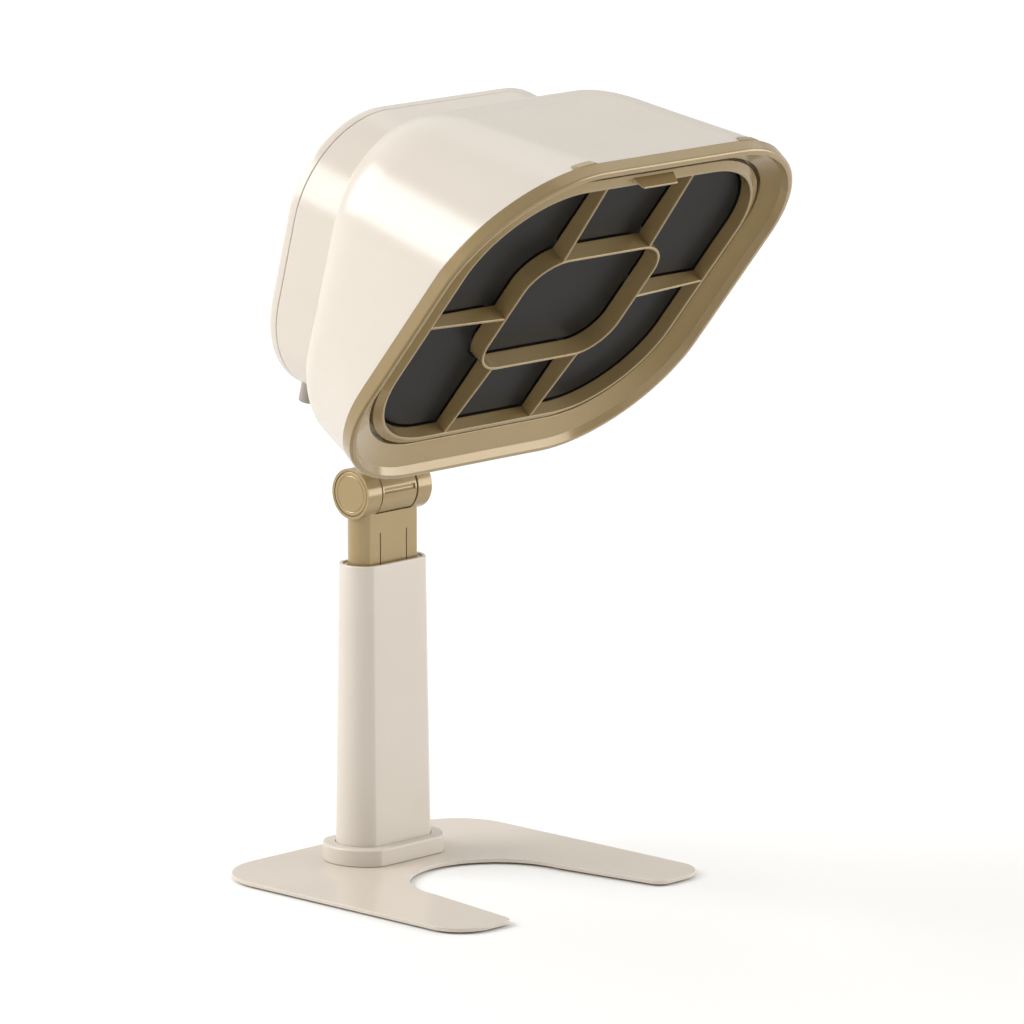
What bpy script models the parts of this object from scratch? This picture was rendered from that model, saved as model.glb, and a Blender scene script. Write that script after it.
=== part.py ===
"""Tabletop extractor hood: a filter hood on a tilting neck, a telescopic post and a flat U-shaped base.

Metres, +Z up. The origin is on the table, on the column's axis. The mouth faces -Y and leans down.
"""

import math

import bmesh
import bpy
from mathutils import Matrix, Vector

# Clearances
SEAT_GAP = 0.0003
SLIDE_GAP = 0.0004
OPENING_GAP = 0.0007

# Base plate and its non-slip pad
BASE_WIDTH = 0.200
BASE_BACK = 0.0403
BASE_REACH = 0.1580
BASE_THICKNESS = 0.0022
BASE_BACK_RADIUS = 0.036
PRONG_OUTER_RADIUS = 0.022
PRONG_INNER_RADIUS = 0.008
NOTCH_BACK = 0.040
NOTCH_RADIUS = 0.048
NOTCH_TIP_HALF_WIDTH = 0.0575
PAD_THICKNESS = 0.0008
PAD_INSET = 0.0030

# Column, collar and guide bush; every oval has flat long sides and slightly full ends
OVAL_FULLNESS = 1.10
COLUMN_TOP = 0.172
COLUMN_FOOT_LENGTH = 0.0614
COLUMN_FOOT_DEPTH = 0.0314
COLUMN_TOP_LENGTH = 0.0566
COLUMN_TOP_DEPTH = 0.0267
COLUMN_WALL = 0.0022
COLUMN_FLOOR = 0.020
COLUMN_RIM_ROUND = 0.0007
COLLAR_LENGTH = 0.0755
COLLAR_DEPTH = 0.0455
COLLAR_HEIGHT = 0.0095
COLLAR_ROUND = 0.0009
BUSH_HEIGHT = 0.016
BUSH_DROP = 0.0012

# Inner post with its spring tongue
POST_LENGTH = 0.047
POST_DEPTH = 0.0172
POST_WALL = 0.0022
POST_SHOWN = 0.0257
POST_IN_COLUMN = 0.100
TONGUE_HALF_WIDTH = 0.0103
TONGUE_SLIT = 0.0008
TONGUE_TOP_DROP = 0.0085
TONGUE_LENGTH = 0.070
SHOE_HEIGHT = 0.008
SHOE_SPIGOT = 0.009

# Friction hinge between the post and the head
BARREL_RADIUS = 0.0143
BARREL_LENGTH = 0.050
FORK_GAP = 0.0286
FORK_CLEARANCE = 0.0006
KNUCKLE_INSET = 0.0003
HINGE_BOLT_RADIUS = 0.003
HINGE_HEAD_RADIUS = 0.0052
HINGE_HEAD_HEIGHT = 0.0032
HINGE_CAP_RADIUS = 0.0124
HINGE_CAP_THICKNESS = 0.0015
HINGE_WASHER_THICKNESS = 0.0005
HINGE_WASHER_RADIUS = 0.0105
GROOVE_RADIUS = 0.0016
GROOVE_HALF_LENGTH = 0.0110

# Neck from the hinge to the underside of the rear housing
NECK_LENGTH = 0.025
NECK_DEPTH = 0.016
FLANGE_LENGTH = 0.058
FLANGE_DEPTH = 0.026
FLANGE_FORWARD = 0.024
NECK_SCREW_SPREAD = 0.008
NECK_FLARE = ((0.0, 0.0), (0.4, 0.0), (0.7, 0.06), (0.84, 0.22), (0.93, 0.5), (0.97, 0.86), (1.0, 1.0))

# Rear housing: the fan's case, leaning forward, measured from the centre of its back
REAR_LEAN = math.radians(15.0)
REAR_FORWARD = 0.0245
REAR_RISE = 0.1453
REAR_WIDTH = 0.208
REAR_HEIGHT = 0.164
REAR_RADIUS = 0.057
REAR_DEPTH = 0.038
COVER_DEPTH = 0.0064
COVER_ROUND = 0.0040
SHELL_WALL = 0.0025

# Front hood: lofted from the rear housing's plane to the mouth's plane
SHOULDER_SIDE_OUTSET = 0.0040
SHOULDER_HEIGHT_OUTSET = 0.0061
SHOULDER_RAISE = 0.0027
SHOULDER_RADIUS = 0.0525
SHOULDER_DEPTH = 0.0027
HOOD_BULGE = 0.0092
BULGE_SHARE = 0.28
HOOD_SPIGOT_DEPTH = 0.004
HOOD_SPIGOT_WALL = 0.002
HOOD_EDGE_INSET = 0.0005
HOOD_SECTIONS = 10
SECTION_CROWDING = 2.0

# Mouth plane and bezel
MOUTH_LEAN = math.radians(39.5)
MOUTH_FORWARD = 0.1463
MOUTH_RISE = 0.1145
MOUTH_WIDTH = 0.259
MOUTH_HEIGHT = 0.239
MOUTH_RADIUS = 0.0765
BAND_DEPTH = 0.008
LIP_ROUND = 0.0016
LIP_MIDDLE_SHARE = 0.3
LIP_WIDTH = 0.0053
BEVEL_WIDTH = 0.0060
BEVEL_DEPTH = 0.0016
BEZEL_WALL = 0.0018
BEZEL_SPIGOT_SHARE = 0.06
FUNNEL_WIDTH = 0.0170
LEDGE_WIDTH = 0.0024
CLIP_SPREAD = 0.064
CLIP_WIDTH = 0.0158
CLIP_END_WIDTH = 0.0124
CLIP_SHARE = 0.032
CLIP_THICKNESS = 0.0009

# Filter grille, centred a little above the mouth's middle
GRILLE_RAISE = 0.0018
GRILLE_LEVEL_GAP = 0.00115
GRILLE_CORNER_GAIN = 0.0032
GRILLE_SET_BACK = 0.0088
GRILLE_BACK = 0.0142
FRAME_RIDGE_SET_BACK = 0.0065
FRAME_WIDTH = 0.0060
RIDGE_WIDTH = 0.0016
FRAME_DRAFT = 0.0005
TRAY_DEPTH = 0.0048
TRAY_WALL = 0.0018
TRAY_INSET = 0.0024
RING_WIDTH = 0.1046
RING_HEIGHT = 0.0867
RING_RADIUS = 0.0233
RING_SET_BACK = 0.0039
BAR_THICKNESS = 0.0025
BAR_DRAFT = 0.0004
SPOKE_SPREAD = 0.0336
TAB_WIDTH = 0.0339
TAB_END_WIDTH = 0.0262
TAB_SET_BACK = 0.0004
TAB_ROOT_BITE = 0.0015
TAB_EDGE = 0.00135
TAB_THICKNESS = 0.0014
LUG_SPREAD = 0.045
LUG_WIDTH = 0.012
LUG_REACH = 0.0018
LUG_THICKNESS = 0.0024
PANEL_THICKNESS = 0.0036
PANEL_GAP = 0.0012

# Axial fan in the rear housing
FAN_EDGE_ROOM = 0.0050
FAN_RING_WALL = 0.0025
FAN_RING_BACK = 0.012
FAN_FLANGE_THICKNESS = 0.0025
FAN_FLANGE_FRONT = 0.0315
STRUT_THICKNESS = 0.003
STRUT_WIDTH = 0.007
STRUT_COUNT = 4
HUB_RADIUS = 0.022
HUB_WALL = 0.0022
HUB_BACK = 0.0155
HUB_FRONT = 0.0310
STATOR_RADIUS = 0.0175
STATOR_LENGTH = 0.013
FAN_SHAFT_RADIUS = 0.0015
BLADE_COUNT = 7
BLADE_TIP_GAP = 0.003
BLADE_CHORD = 0.034
BLADE_ROOT_SHARE = 0.62
BLADE_THICKNESS = 0.0018
BLADE_ROOT_PITCH = math.radians(38.0)
BLADE_TIP_PITCH = math.radians(22.0)

# Outlet slots in the rear cover
VENT_COUNT = 9
VENT_HEIGHT = 0.0055
VENT_FIELD_EDGE = 0.010

# Screws and their bosses
BOSS_EDGE = 0.0063
BOSS_RADIUS = 0.0048
SCREW_RADIUS = 0.0016
SCREW_HEAD_RADIUS = 0.0032
SCREW_HEAD_HEIGHT = 0.0018
SCREW_CROWN_SHARE = 0.6
SCREW_LENGTH = 0.010
BASE_SCREW_SPREAD = 0.018
BASE_SCREW_RADIUS = 0.0020
BASE_SCREW_HEAD_RADIUS = 0.0040
BASE_SCREW_HEAD_HEIGHT = 0.0016
BASE_SCREW_LENGTH = 0.014

# Push button under the rear housing, control board and power socket
BUTTON_EDGE = 0.0305
BUTTON_FORWARD = 0.0125
BUTTON_RADIUS = 0.0045
BUTTON_PROUD = 0.0086
BUTTON_ROUND = 0.0009
BUTTON_TRAVEL = 0.0015
BUTTON_FLANGE_RADIUS = 0.0057
BUTTON_FLANGE_HEIGHT = 0.0012
BOARD_LENGTH = 0.026
BOARD_WIDTH = 0.018
BOARD_THICKNESS = 0.0016
SOCKET_EDGE = 0.013
SOCKET_RADIUS = 0.0052
SOCKET_BORE_RADIUS = 0.0032
SOCKET_PIN_RADIUS = 0.0009
SOCKET_LENGTH = 0.010
SOCKET_WALL = 0.0020
SOCKET_RECESS = 0.0005

# Facets
CORNER_STEPS = 12
OVAL_STEPS = 10
ROUND_STEPS = 40
SMALL_ROUND_STEPS = 16
SMOOTH_ANGLE = math.radians(32.0)

# Levels and frames worked out from the sizes above
PLATE_BOTTOM = PAD_THICKNESS + SEAT_GAP
PLATE_TOP = PLATE_BOTTOM + BASE_THICKNESS
FOOT_LEVEL = PLATE_TOP + SEAT_GAP
BORE_LENGTH = COLUMN_TOP_LENGTH - 2 * COLUMN_WALL
BORE_DEPTH = COLUMN_TOP_DEPTH - 2 * COLUMN_WALL
HINGE_HEIGHT = COLUMN_TOP + POST_SHOWN + BARREL_RADIUS
POST_BOTTOM = COLUMN_TOP - POST_IN_COLUMN
KNUCKLE_RADIUS = BARREL_RADIUS - KNUCKLE_INSET
CRADLE_RADIUS = KNUCKLE_RADIUS + FORK_CLEARANCE
TONGUE_TOP = COLUMN_TOP + POST_SHOWN - TONGUE_TOP_DROP
KNUCKLE_LENGTH = FORK_GAP - 2 * (HINGE_WASHER_THICKNESS + 2 * SEAT_GAP)
HOOD_BACK = REAR_DEPTH
BOSS_DIAGONAL = (REAR_RADIUS - BOSS_EDGE) / math.sqrt(2)
BOSS_SPREAD = REAR_WIDTH / 2 - REAR_RADIUS + BOSS_DIAGONAL
BOSS_RISE = REAR_HEIGHT / 2 - REAR_RADIUS + BOSS_DIAGONAL
GRILLE_WIDTH = MOUTH_WIDTH - 2 * (FUNNEL_WIDTH + OPENING_GAP)
GRILLE_HEIGHT = MOUTH_HEIGHT - 2 * (FUNNEL_WIDTH + GRILLE_LEVEL_GAP)
GRILLE_RADIUS = MOUTH_RADIUS - FUNNEL_WIDTH - OPENING_GAP + GRILLE_CORNER_GAIN
HOUSING_BACK = COVER_DEPTH + SEAT_GAP
FAN_BORE_RADIUS = REAR_HEIGHT / 2 - SHELL_WALL - FAN_EDGE_ROOM - FAN_RING_WALL
VENT_FIELD_RADIUS = FAN_BORE_RADIUS - VENT_FIELD_EDGE
VENT_PITCH = 2 * VENT_FIELD_RADIUS / (VENT_COUNT + 1)
SOCKET_DROP = REAR_HEIGHT / 2 - SOCKET_EDGE
BUTTON_SIDE = REAR_WIDTH / 2 - BUTTON_EDGE
FAN_FLANGE_BACK = FAN_FLANGE_FRONT - FAN_FLANGE_THICKNESS
WINDOW_WIDTH = GRILLE_WIDTH - 2 * FRAME_WIDTH
WINDOW_HEIGHT = GRILLE_HEIGHT - 2 * FRAME_WIDTH
REAR_FRAME = Matrix.Translation((0, -REAR_FORWARD, HINGE_HEIGHT + REAR_RISE)) @ Matrix.Rotation(
    math.pi / 2 + REAR_LEAN, 4, "X"
)
MOUTH_FRAME = Matrix.Translation((0, -MOUTH_FORWARD, HINGE_HEIGHT + MOUTH_RISE)) @ Matrix.Rotation(
    math.pi / 2 + MOUTH_LEAN, 4, "X"
)


# Outlines

def arc(centre_x, centre_y, radius, start, end, steps):
    """Points of an arc, from one angle in degrees to another."""
    points = []
    for i in range(steps + 1):
        angle = math.radians(start + (end - start) * i / steps)
        points.append((centre_x + radius * math.cos(angle), centre_y + radius * math.sin(angle)))
    return points


def rounded_loop(width, height, radius, inset=0.0, raise_by=0.0):
    """Rounded rectangle, drawn in by an inset that its corners follow."""
    side = width / 2 - radius
    rise = height / 2 - radius
    bend = radius - inset
    points = []
    for sign_x, sign_y, start in ((1, 1, 0), (-1, 1, 90), (-1, -1, 180), (1, -1, 270)):
        points += arc(sign_x * side, sign_y * rise + raise_by, bend, start, start + 90, CORNER_STEPS)
    return points


def oval_loop(length, depth):
    """Oval with flat long sides, whose full ends meet the flats at a soft edge."""
    radius = OVAL_FULLNESS * depth / 2
    centre = length / 2 - radius
    sweep = math.degrees(math.asin(depth / 2 / radius))
    right = arc(centre, 0, radius, -sweep, sweep, OVAL_STEPS)
    left = arc(-centre, 0, radius, 180 - sweep, 180 + sweep, OVAL_STEPS)
    return right + left


def round_loop(radius, steps=ROUND_STEPS):
    """Circle about the origin."""
    return arc(0, 0, radius, 0, 360, steps)[:-1]


def base_outline(inset):
    """U-shaped plate seen from above, drawn in by an inset."""
    half = BASE_WIDTH / 2 - inset
    back = BASE_BACK - inset
    front = -BASE_REACH + inset
    back_bend = BASE_BACK_RADIUS - inset
    outer = PRONG_OUTER_RADIUS - inset
    inner = PRONG_INNER_RADIUS - inset
    notch = NOTCH_RADIUS + inset
    notch_centre = -NOTCH_BACK - NOTCH_RADIUS
    tip = NOTCH_TIP_HALF_WIDTH + inset
    corner = CORNER_STEPS
    left_half = arc(-half + back_bend, back - back_bend, back_bend, 90, 180, corner)
    left_half += arc(-half + outer, front + outer, outer, 180, 270, corner)
    left_half += arc(-tip - inner, front + inner, inner, 270, 360, corner // 2)
    left_half += arc(0, notch_centre, notch, 180, 90, 2 * corner)
    right_half = [(-x, y) for x, y in reversed(left_half[:-1])]
    return left_half + right_half


# Solids

def at(loop, level):
    """A flat loop placed at a level along the local Z axis."""
    return [Vector((x, y, level)) for x, y in loop]


def finish(name, colour, roughness, metallic=0.0):
    """Principled material for one kind of surface."""
    material = bpy.data.materials.new(name)
    material.use_nodes = True
    shader = material.node_tree.nodes["Principled BSDF"]
    shader.inputs["Base Color"].default_value = (*colour, 1.0)
    shader.inputs["Roughness"].default_value = roughness
    shader.inputs["Metallic"].default_value = metallic
    material.diffuse_color = (*colour, 1.0)
    return material


def empty(name, matrix):
    """Reference frame that pieces hang on."""
    frame = bpy.data.objects.new(name, None)
    frame.matrix_world = matrix
    bpy.context.scene.collection.objects.link(frame)
    return frame


def add_object(name, form, parent, material):
    """Turn a bmesh into a named object under its frame."""
    bmesh.ops.recalc_face_normals(form, faces=form.faces)
    mesh = bpy.data.meshes.new(name)
    form.to_mesh(mesh)
    form.free()
    if material:
        mesh.materials.append(material)
    mesh.shade_smooth()
    mesh.set_sharp_from_angle(angle=SMOOTH_ANGLE)
    piece = bpy.data.objects.new(name, mesh)
    piece.parent = parent
    bpy.context.scene.collection.objects.link(piece)
    return piece


def skin(form, rings, capped):
    """Bridge loops in order, then cap both ends or join the last loop to the first."""
    loops = [[form.verts.new(point) for point in ring] for ring in rings]
    pairs = list(zip(loops, loops[1:]))
    if capped:
        form.faces.new(loops[0])
        form.faces.new(loops[-1])
    else:
        pairs.append((loops[-1], loops[0]))
    for near, far in pairs:
        for i, corner in enumerate(near):
            j = (i + 1) % len(near)
            form.faces.new((corner, near[j], far[j], far[i]))


def loft(name, rings, parent, material, capped=True):
    """Solid skinned over loops."""
    form = bmesh.new()
    skin(form, rings, capped)
    return add_object(name, form, parent, material)


def group(name, solids, parent):
    """Helper made of several separate lofts, for one cut or one join."""
    form = bmesh.new()
    for rings in solids:
        skin(form, rings, True)
    return add_object(name, form, parent, None)


def block(low, high):
    """Rings of a box between two corners."""
    x0, y0, z0 = low
    x1, y1, z1 = high
    outline = [(x0, y0), (x1, y0), (x1, y1), (x0, y1)]
    return [at(outline, z0), at(outline, z1)]


def shifted(rings, offset):
    """The same rings moved sideways."""
    move = Vector(offset)
    return [[point + move for point in ring] for ring in rings]


def rod(radius, low, high, steps=SMALL_ROUND_STEPS):
    """Rings of a round bar along the local Z axis."""
    return [at(round_loop(radius, steps), low), at(round_loop(radius, steps), high)]


def turned(profile, steps=SMALL_ROUND_STEPS):
    """Rings of a turned piece, from pairs of radius and level."""
    return [at(round_loop(radius, steps), level) for radius, level in profile]


def combine(piece, helper, operation):
    """Join a helper to a piece or cut it away, and hide the helper."""
    helper.hide_render = True
    helper.display_type = "WIRE"
    step = piece.modifiers.new(helper.name, "BOOLEAN")
    step.operation = operation
    step.solver = "EXACT"
    step.object = helper


def cut(piece, name, solids, parent):
    """Cut lofts out of a piece."""
    combine(piece, group(name, solids, parent), "DIFFERENCE")


def fuse(piece, name, solids, parent):
    """Join lofts to a piece."""
    combine(piece, group(name, solids, parent), "UNION")


def add_screw(name, parent, place, material, down=False):
    """Pan-head screw along the local Z axis, its head's seat at the place given."""
    sign = -1 if down else 1
    profile = [
        (SCREW_RADIUS, -SCREW_LENGTH),
        (SCREW_RADIUS, 0),
        (SCREW_HEAD_RADIUS, 0),
        (SCREW_HEAD_RADIUS, SCREW_HEAD_HEIGHT / 2),
        (SCREW_HEAD_RADIUS * SCREW_CROWN_SHARE, SCREW_HEAD_HEIGHT),
    ]
    rings = turned([(radius, sign * level) for radius, level in profile])
    piece = loft(name, rings, parent, material)
    piece.location = place
    return piece


# Stand

def add_base(frame, paint, rubber, steel):
    """Plate, pad and the two countersunk screws that hold the column."""
    outline = base_outline(0)
    plate = loft("base_plate", [at(outline, PLATE_BOTTOM), at(outline, PLATE_TOP)], frame, paint)
    outline = base_outline(PAD_INSET)
    loft("base_pad", [at(outline, 0), at(outline, PAD_THICKNESS)], frame, rubber)
    neck = PLATE_BOTTOM + BASE_SCREW_HEAD_HEIGHT
    sink = [
        (BASE_SCREW_HEAD_RADIUS + SEAT_GAP, PLATE_BOTTOM - SEAT_GAP),
        (BASE_SCREW_HEAD_RADIUS + SEAT_GAP, PLATE_BOTTOM),
        (BASE_SCREW_RADIUS + SEAT_GAP, neck + SEAT_GAP),
        (BASE_SCREW_RADIUS + SEAT_GAP, PLATE_TOP + SEAT_GAP),
    ]
    screw = [
        (BASE_SCREW_HEAD_RADIUS, PLATE_BOTTOM),
        (BASE_SCREW_RADIUS, neck),
        (BASE_SCREW_RADIUS, PLATE_BOTTOM + BASE_SCREW_LENGTH),
    ]
    holes = []
    for side, sign in (("left", -1), ("right", 1)):
        offset = (sign * BASE_SCREW_SPREAD, 0, 0)
        holes.append(shifted(turned(sink), offset))
        loft("base_screw_" + side, turned(screw), frame, steel).location = offset
    cut(plate, "base_screw_holes", holes, frame)


def column_size(level):
    """Length and depth of the tapering column at a height."""
    share = (level - FOOT_LEVEL) / (COLUMN_TOP - FOOT_LEVEL)
    length = COLUMN_FOOT_LENGTH + (COLUMN_TOP_LENGTH - COLUMN_FOOT_LENGTH) * share
    depth = COLUMN_FOOT_DEPTH + (COLUMN_TOP_DEPTH - COLUMN_FOOT_DEPTH) * share
    return length, depth


def column_loop(level, outset=0.0):
    """Outline of the column at a height."""
    length, depth = column_size(level)
    return oval_loop(length + 2 * outset, depth + 2 * outset)


def add_column(frame, plastic):
    """Tapering tube with a solid foot, its collar and the guide bush in its mouth."""
    shoulder = COLUMN_TOP - COLUMN_RIM_ROUND
    bore = oval_loop(BORE_LENGTH, BORE_DEPTH)
    rings = [
        at(column_loop(FOOT_LEVEL), FOOT_LEVEL),
        at(column_loop(shoulder), shoulder),
        at(column_loop(COLUMN_TOP, -COLUMN_RIM_ROUND), COLUMN_TOP),
        at(bore, COLUMN_TOP),
        at(bore, FOOT_LEVEL + COLUMN_FLOOR),
    ]
    column = loft("column", rings, frame, plastic)
    hole_top = PLATE_BOTTOM + BASE_SCREW_LENGTH + SEAT_GAP
    hole = rod(BASE_SCREW_RADIUS + SEAT_GAP, FOOT_LEVEL - SEAT_GAP, hole_top)
    holes = [shifted(hole, (sign * BASE_SCREW_SPREAD, 0, 0)) for sign in (-1, 1)]
    cut(column, "column_screw_holes", holes, frame)

    top = FOOT_LEVEL + COLLAR_HEIGHT
    outer = oval_loop(COLLAR_LENGTH, COLLAR_DEPTH)
    crown = oval_loop(COLLAR_LENGTH - 2 * COLLAR_ROUND, COLLAR_DEPTH - 2 * COLLAR_ROUND)
    rings = [
        at(outer, FOOT_LEVEL),
        at(outer, top - COLLAR_ROUND),
        at(crown, top),
        at(column_loop(FOOT_LEVEL, SEAT_GAP), top),
        at(column_loop(FOOT_LEVEL, SEAT_GAP), FOOT_LEVEL),
    ]
    loft("column_collar", rings, frame, plastic, capped=False)

    bush_top = COLUMN_TOP - BUSH_DROP
    outer = oval_loop(BORE_LENGTH - 2 * SEAT_GAP, BORE_DEPTH - 2 * SEAT_GAP)
    inner = oval_loop(POST_LENGTH + 2 * SLIDE_GAP, POST_DEPTH + 2 * SLIDE_GAP)
    rings = [at(outer, bush_top - BUSH_HEIGHT), at(outer, bush_top), at(inner, bush_top)]
    rings.append(at(inner, bush_top - BUSH_HEIGHT))
    loft("column_bush", rings, frame, plastic, capped=False)


# Post and hinge

def add_post(frame, barrel_frame, metal, plastic):
    """Telescopic post with fork ears, a spring tongue and a guide shoe on its foot."""
    outer = oval_loop(POST_LENGTH, POST_DEPTH)
    inner = oval_loop(POST_LENGTH - 2 * POST_WALL, POST_DEPTH - 2 * POST_WALL)
    ear_root = HINGE_HEIGHT - BARREL_RADIUS / 2
    rings = [at(inner, TONGUE_TOP), at(inner, POST_BOTTOM), at(outer, POST_BOTTOM), at(outer, ear_root)]
    post = loft("inner_post", rings, frame, metal)
    half = BARREL_LENGTH / 2
    fuse(post, "hinge_barrel", [rod(BARREL_RADIUS, -half, half, ROUND_STEPS)], barrel_frame)
    reach = 2 * BARREL_RADIUS
    cut(post, "fork_cradle", [rod(CRADLE_RADIUS, -FORK_GAP / 2, FORK_GAP / 2, ROUND_STEPS)], barrel_frame)
    pocket = half - HINGE_CAP_THICKNESS - SEAT_GAP
    seat = pocket - HINGE_HEAD_HEIGHT - SEAT_GAP
    bores = [
        (HINGE_CAP_RADIUS + SEAT_GAP, -reach),
        (HINGE_CAP_RADIUS + SEAT_GAP, -pocket),
        (HINGE_HEAD_RADIUS + SEAT_GAP, -pocket),
        (HINGE_HEAD_RADIUS + SEAT_GAP, -seat),
        (HINGE_BOLT_RADIUS + SEAT_GAP, -seat),
    ]
    bores += [(radius, -level) for radius, level in reversed(bores)]
    cut(post, "hinge_bores", [turned(bores, ROUND_STEPS)], barrel_frame)

    front = -POST_DEPTH
    wall_back = -POST_DEPTH / 2 + POST_WALL + SLIDE_GAP
    low = TONGUE_TOP - TONGUE_LENGTH
    slits = []
    for sign in (-1, 1):
        x = sign * TONGUE_HALF_WIDTH
        slits.append(block((x - TONGUE_SLIT / 2, front, low), (x + TONGUE_SLIT / 2, wall_back, TONGUE_TOP)))
    cut(post, "tongue_slits", slits, frame)
    gap = block(
        (-TONGUE_HALF_WIDTH, front, low - TONGUE_SLIT), (TONGUE_HALF_WIDTH, wall_back, low + TONGUE_SLIT)
    )
    cut(post, "tongue_end_gap", [gap], frame)

    plug = oval_loop(
        POST_LENGTH - 2 * (POST_WALL + SEAT_GAP), POST_DEPTH - 2 * (POST_WALL + SEAT_GAP)
    )
    shoe = oval_loop(BORE_LENGTH - 2 * SLIDE_GAP, BORE_DEPTH - 2 * SLIDE_GAP)
    seat_level = POST_BOTTOM - SEAT_GAP
    rings = [
        at(shoe, seat_level - SHOE_HEIGHT),
        at(shoe, seat_level),
        at(plug, seat_level),
        at(plug, seat_level + SHOE_SPIGOT),
    ]
    loft("post_shoe", rings, frame, plastic)


def add_hinge(barrel_frame, metal, steel):
    """Bolt, nut, cover caps and friction washers on the hinge's axis."""
    half = BARREL_LENGTH / 2
    head_out = half - HINGE_CAP_THICKNESS - 2 * SEAT_GAP
    head_in = head_out - HINGE_HEAD_HEIGHT
    bolt = [
        (HINGE_HEAD_RADIUS, -head_out),
        (HINGE_HEAD_RADIUS, -head_in),
        (HINGE_BOLT_RADIUS, -head_in),
        (HINGE_BOLT_RADIUS, head_out),
    ]
    loft("hinge_bolt", turned(bolt), barrel_frame, steel)
    hexagon = round_loop(HINGE_HEAD_RADIUS, 6)
    bore = round_loop(HINGE_BOLT_RADIUS + SEAT_GAP, 6)
    rings = [at(bore, head_in), at(hexagon, head_in), at(hexagon, head_out), at(bore, head_out)]
    nut = loft("hinge_nut", rings, barrel_frame, steel, capped=False)
    cut(nut, "nut_bore", [rod(HINGE_BOLT_RADIUS + SEAT_GAP, head_in - SEAT_GAP, half)], barrel_frame)
    washer_out = FORK_GAP / 2 - SEAT_GAP
    washer_in = washer_out - HINGE_WASHER_THICKNESS
    for side, sign in (("left", -1), ("right", 1)):
        cap = [
            (HINGE_CAP_RADIUS, sign * (half - HINGE_CAP_THICKNESS)),
            (HINGE_CAP_RADIUS, sign * (half - HINGE_CAP_THICKNESS / 3)),
            (HINGE_CAP_RADIUS - HINGE_CAP_THICKNESS / 3, sign * half),
        ]
        loft("hinge_cap_" + side, turned(cap, ROUND_STEPS), barrel_frame, metal)
        outer = round_loop(HINGE_WASHER_RADIUS, SMALL_ROUND_STEPS)
        inner = round_loop(HINGE_BOLT_RADIUS + SEAT_GAP, SMALL_ROUND_STEPS)
        rings = [at(outer, sign * washer_in), at(outer, sign * washer_out)]
        rings += [at(inner, sign * washer_out), at(inner, sign * washer_in)]
        loft("hinge_washer_" + side, rings, barrel_frame, steel, capped=False)


def neck_ring(hinge_to_rear, share, length, depth):
    """Section of the neck, between the hinge's axis and the housing's underside."""
    flange_level = -REAR_HEIGHT / 2 - SEAT_GAP
    ring = []
    for x, y in oval_loop(length, depth):
        foot = Vector((x, y, 0))
        top = hinge_to_rear @ Vector((x, flange_level, FLANGE_FORWARD - y))
        ring.append(foot.lerp(top, share))
    return ring


def add_neck(hinge_frame, barrel_frame, rear_frame, metal, steel):
    """Knuckle between the fork ears and the flared neck above it."""
    hinge_to_rear = hinge_frame.matrix_world.inverted() @ REAR_FRAME
    flare = FLANGE_LENGTH - NECK_LENGTH
    spread = FLANGE_DEPTH - NECK_DEPTH
    rings = []
    for share, grow in NECK_FLARE:
        rings.append(neck_ring(hinge_to_rear, share, NECK_LENGTH + flare * grow, NECK_DEPTH + spread * grow))
    neck = loft("hinge_neck", rings, hinge_frame, metal)
    half = KNUCKLE_LENGTH / 2
    fuse(neck, "knuckle", [rod(KNUCKLE_RADIUS, -half, half, ROUND_STEPS)], barrel_frame)
    bore = rod(HINGE_BOLT_RADIUS + SEAT_GAP, -BARREL_LENGTH, BARREL_LENGTH)
    cut(neck, "knuckle_bore", [bore], barrel_frame)
    groove = shifted(
        rod(GROOVE_RADIUS, -GROOVE_HALF_LENGTH, GROOVE_HALF_LENGTH), (0, -KNUCKLE_RADIUS, 0)
    )
    cut(neck, "knuckle_groove", [groove], barrel_frame)
    seat = -REAR_HEIGHT / 2 + SHELL_WALL + SEAT_GAP
    holes = []
    for side, sign in (("left", -1), ("right", 1)):
        place = Vector((sign * NECK_SCREW_SPREAD, seat, FLANGE_FORWARD))
        screw = add_screw("neck_screw_" + side, rear_frame, place, steel)
        screw.rotation_euler = (-math.pi / 2, 0, 0)
        holes.append(upright_rod(place, SCREW_RADIUS + SEAT_GAP, SCREW_LENGTH + SEAT_GAP, SHELL_WALL))
    cut(neck, "neck_screw_holes", holes, rear_frame)


def upright_rod(place, radius, down, up):
    """Rings of a round bar along the local Y axis, from below a place to above it."""
    rings = []
    for level in (up, -down):
        rings.append([place + Vector((x, level, y)) for x, y in round_loop(radius, SMALL_ROUND_STEPS)])
    return rings


# Head shells

def rear_loop(inset=0.0):
    """Outline of the rear housing."""
    return rounded_loop(REAR_WIDTH, REAR_HEIGHT, REAR_RADIUS, inset)


def mouth_loop(inset=0.0, raise_by=0.0):
    """Outline of the mouth."""
    return rounded_loop(MOUTH_WIDTH, MOUTH_HEIGHT, MOUTH_RADIUS, inset, raise_by)


def boss_places():
    """Centres of the four screw bosses in the rear housing."""
    return [(x, y) for y in (-BOSS_RISE, BOSS_RISE) for x in (-BOSS_SPREAD, BOSS_SPREAD)]


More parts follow.
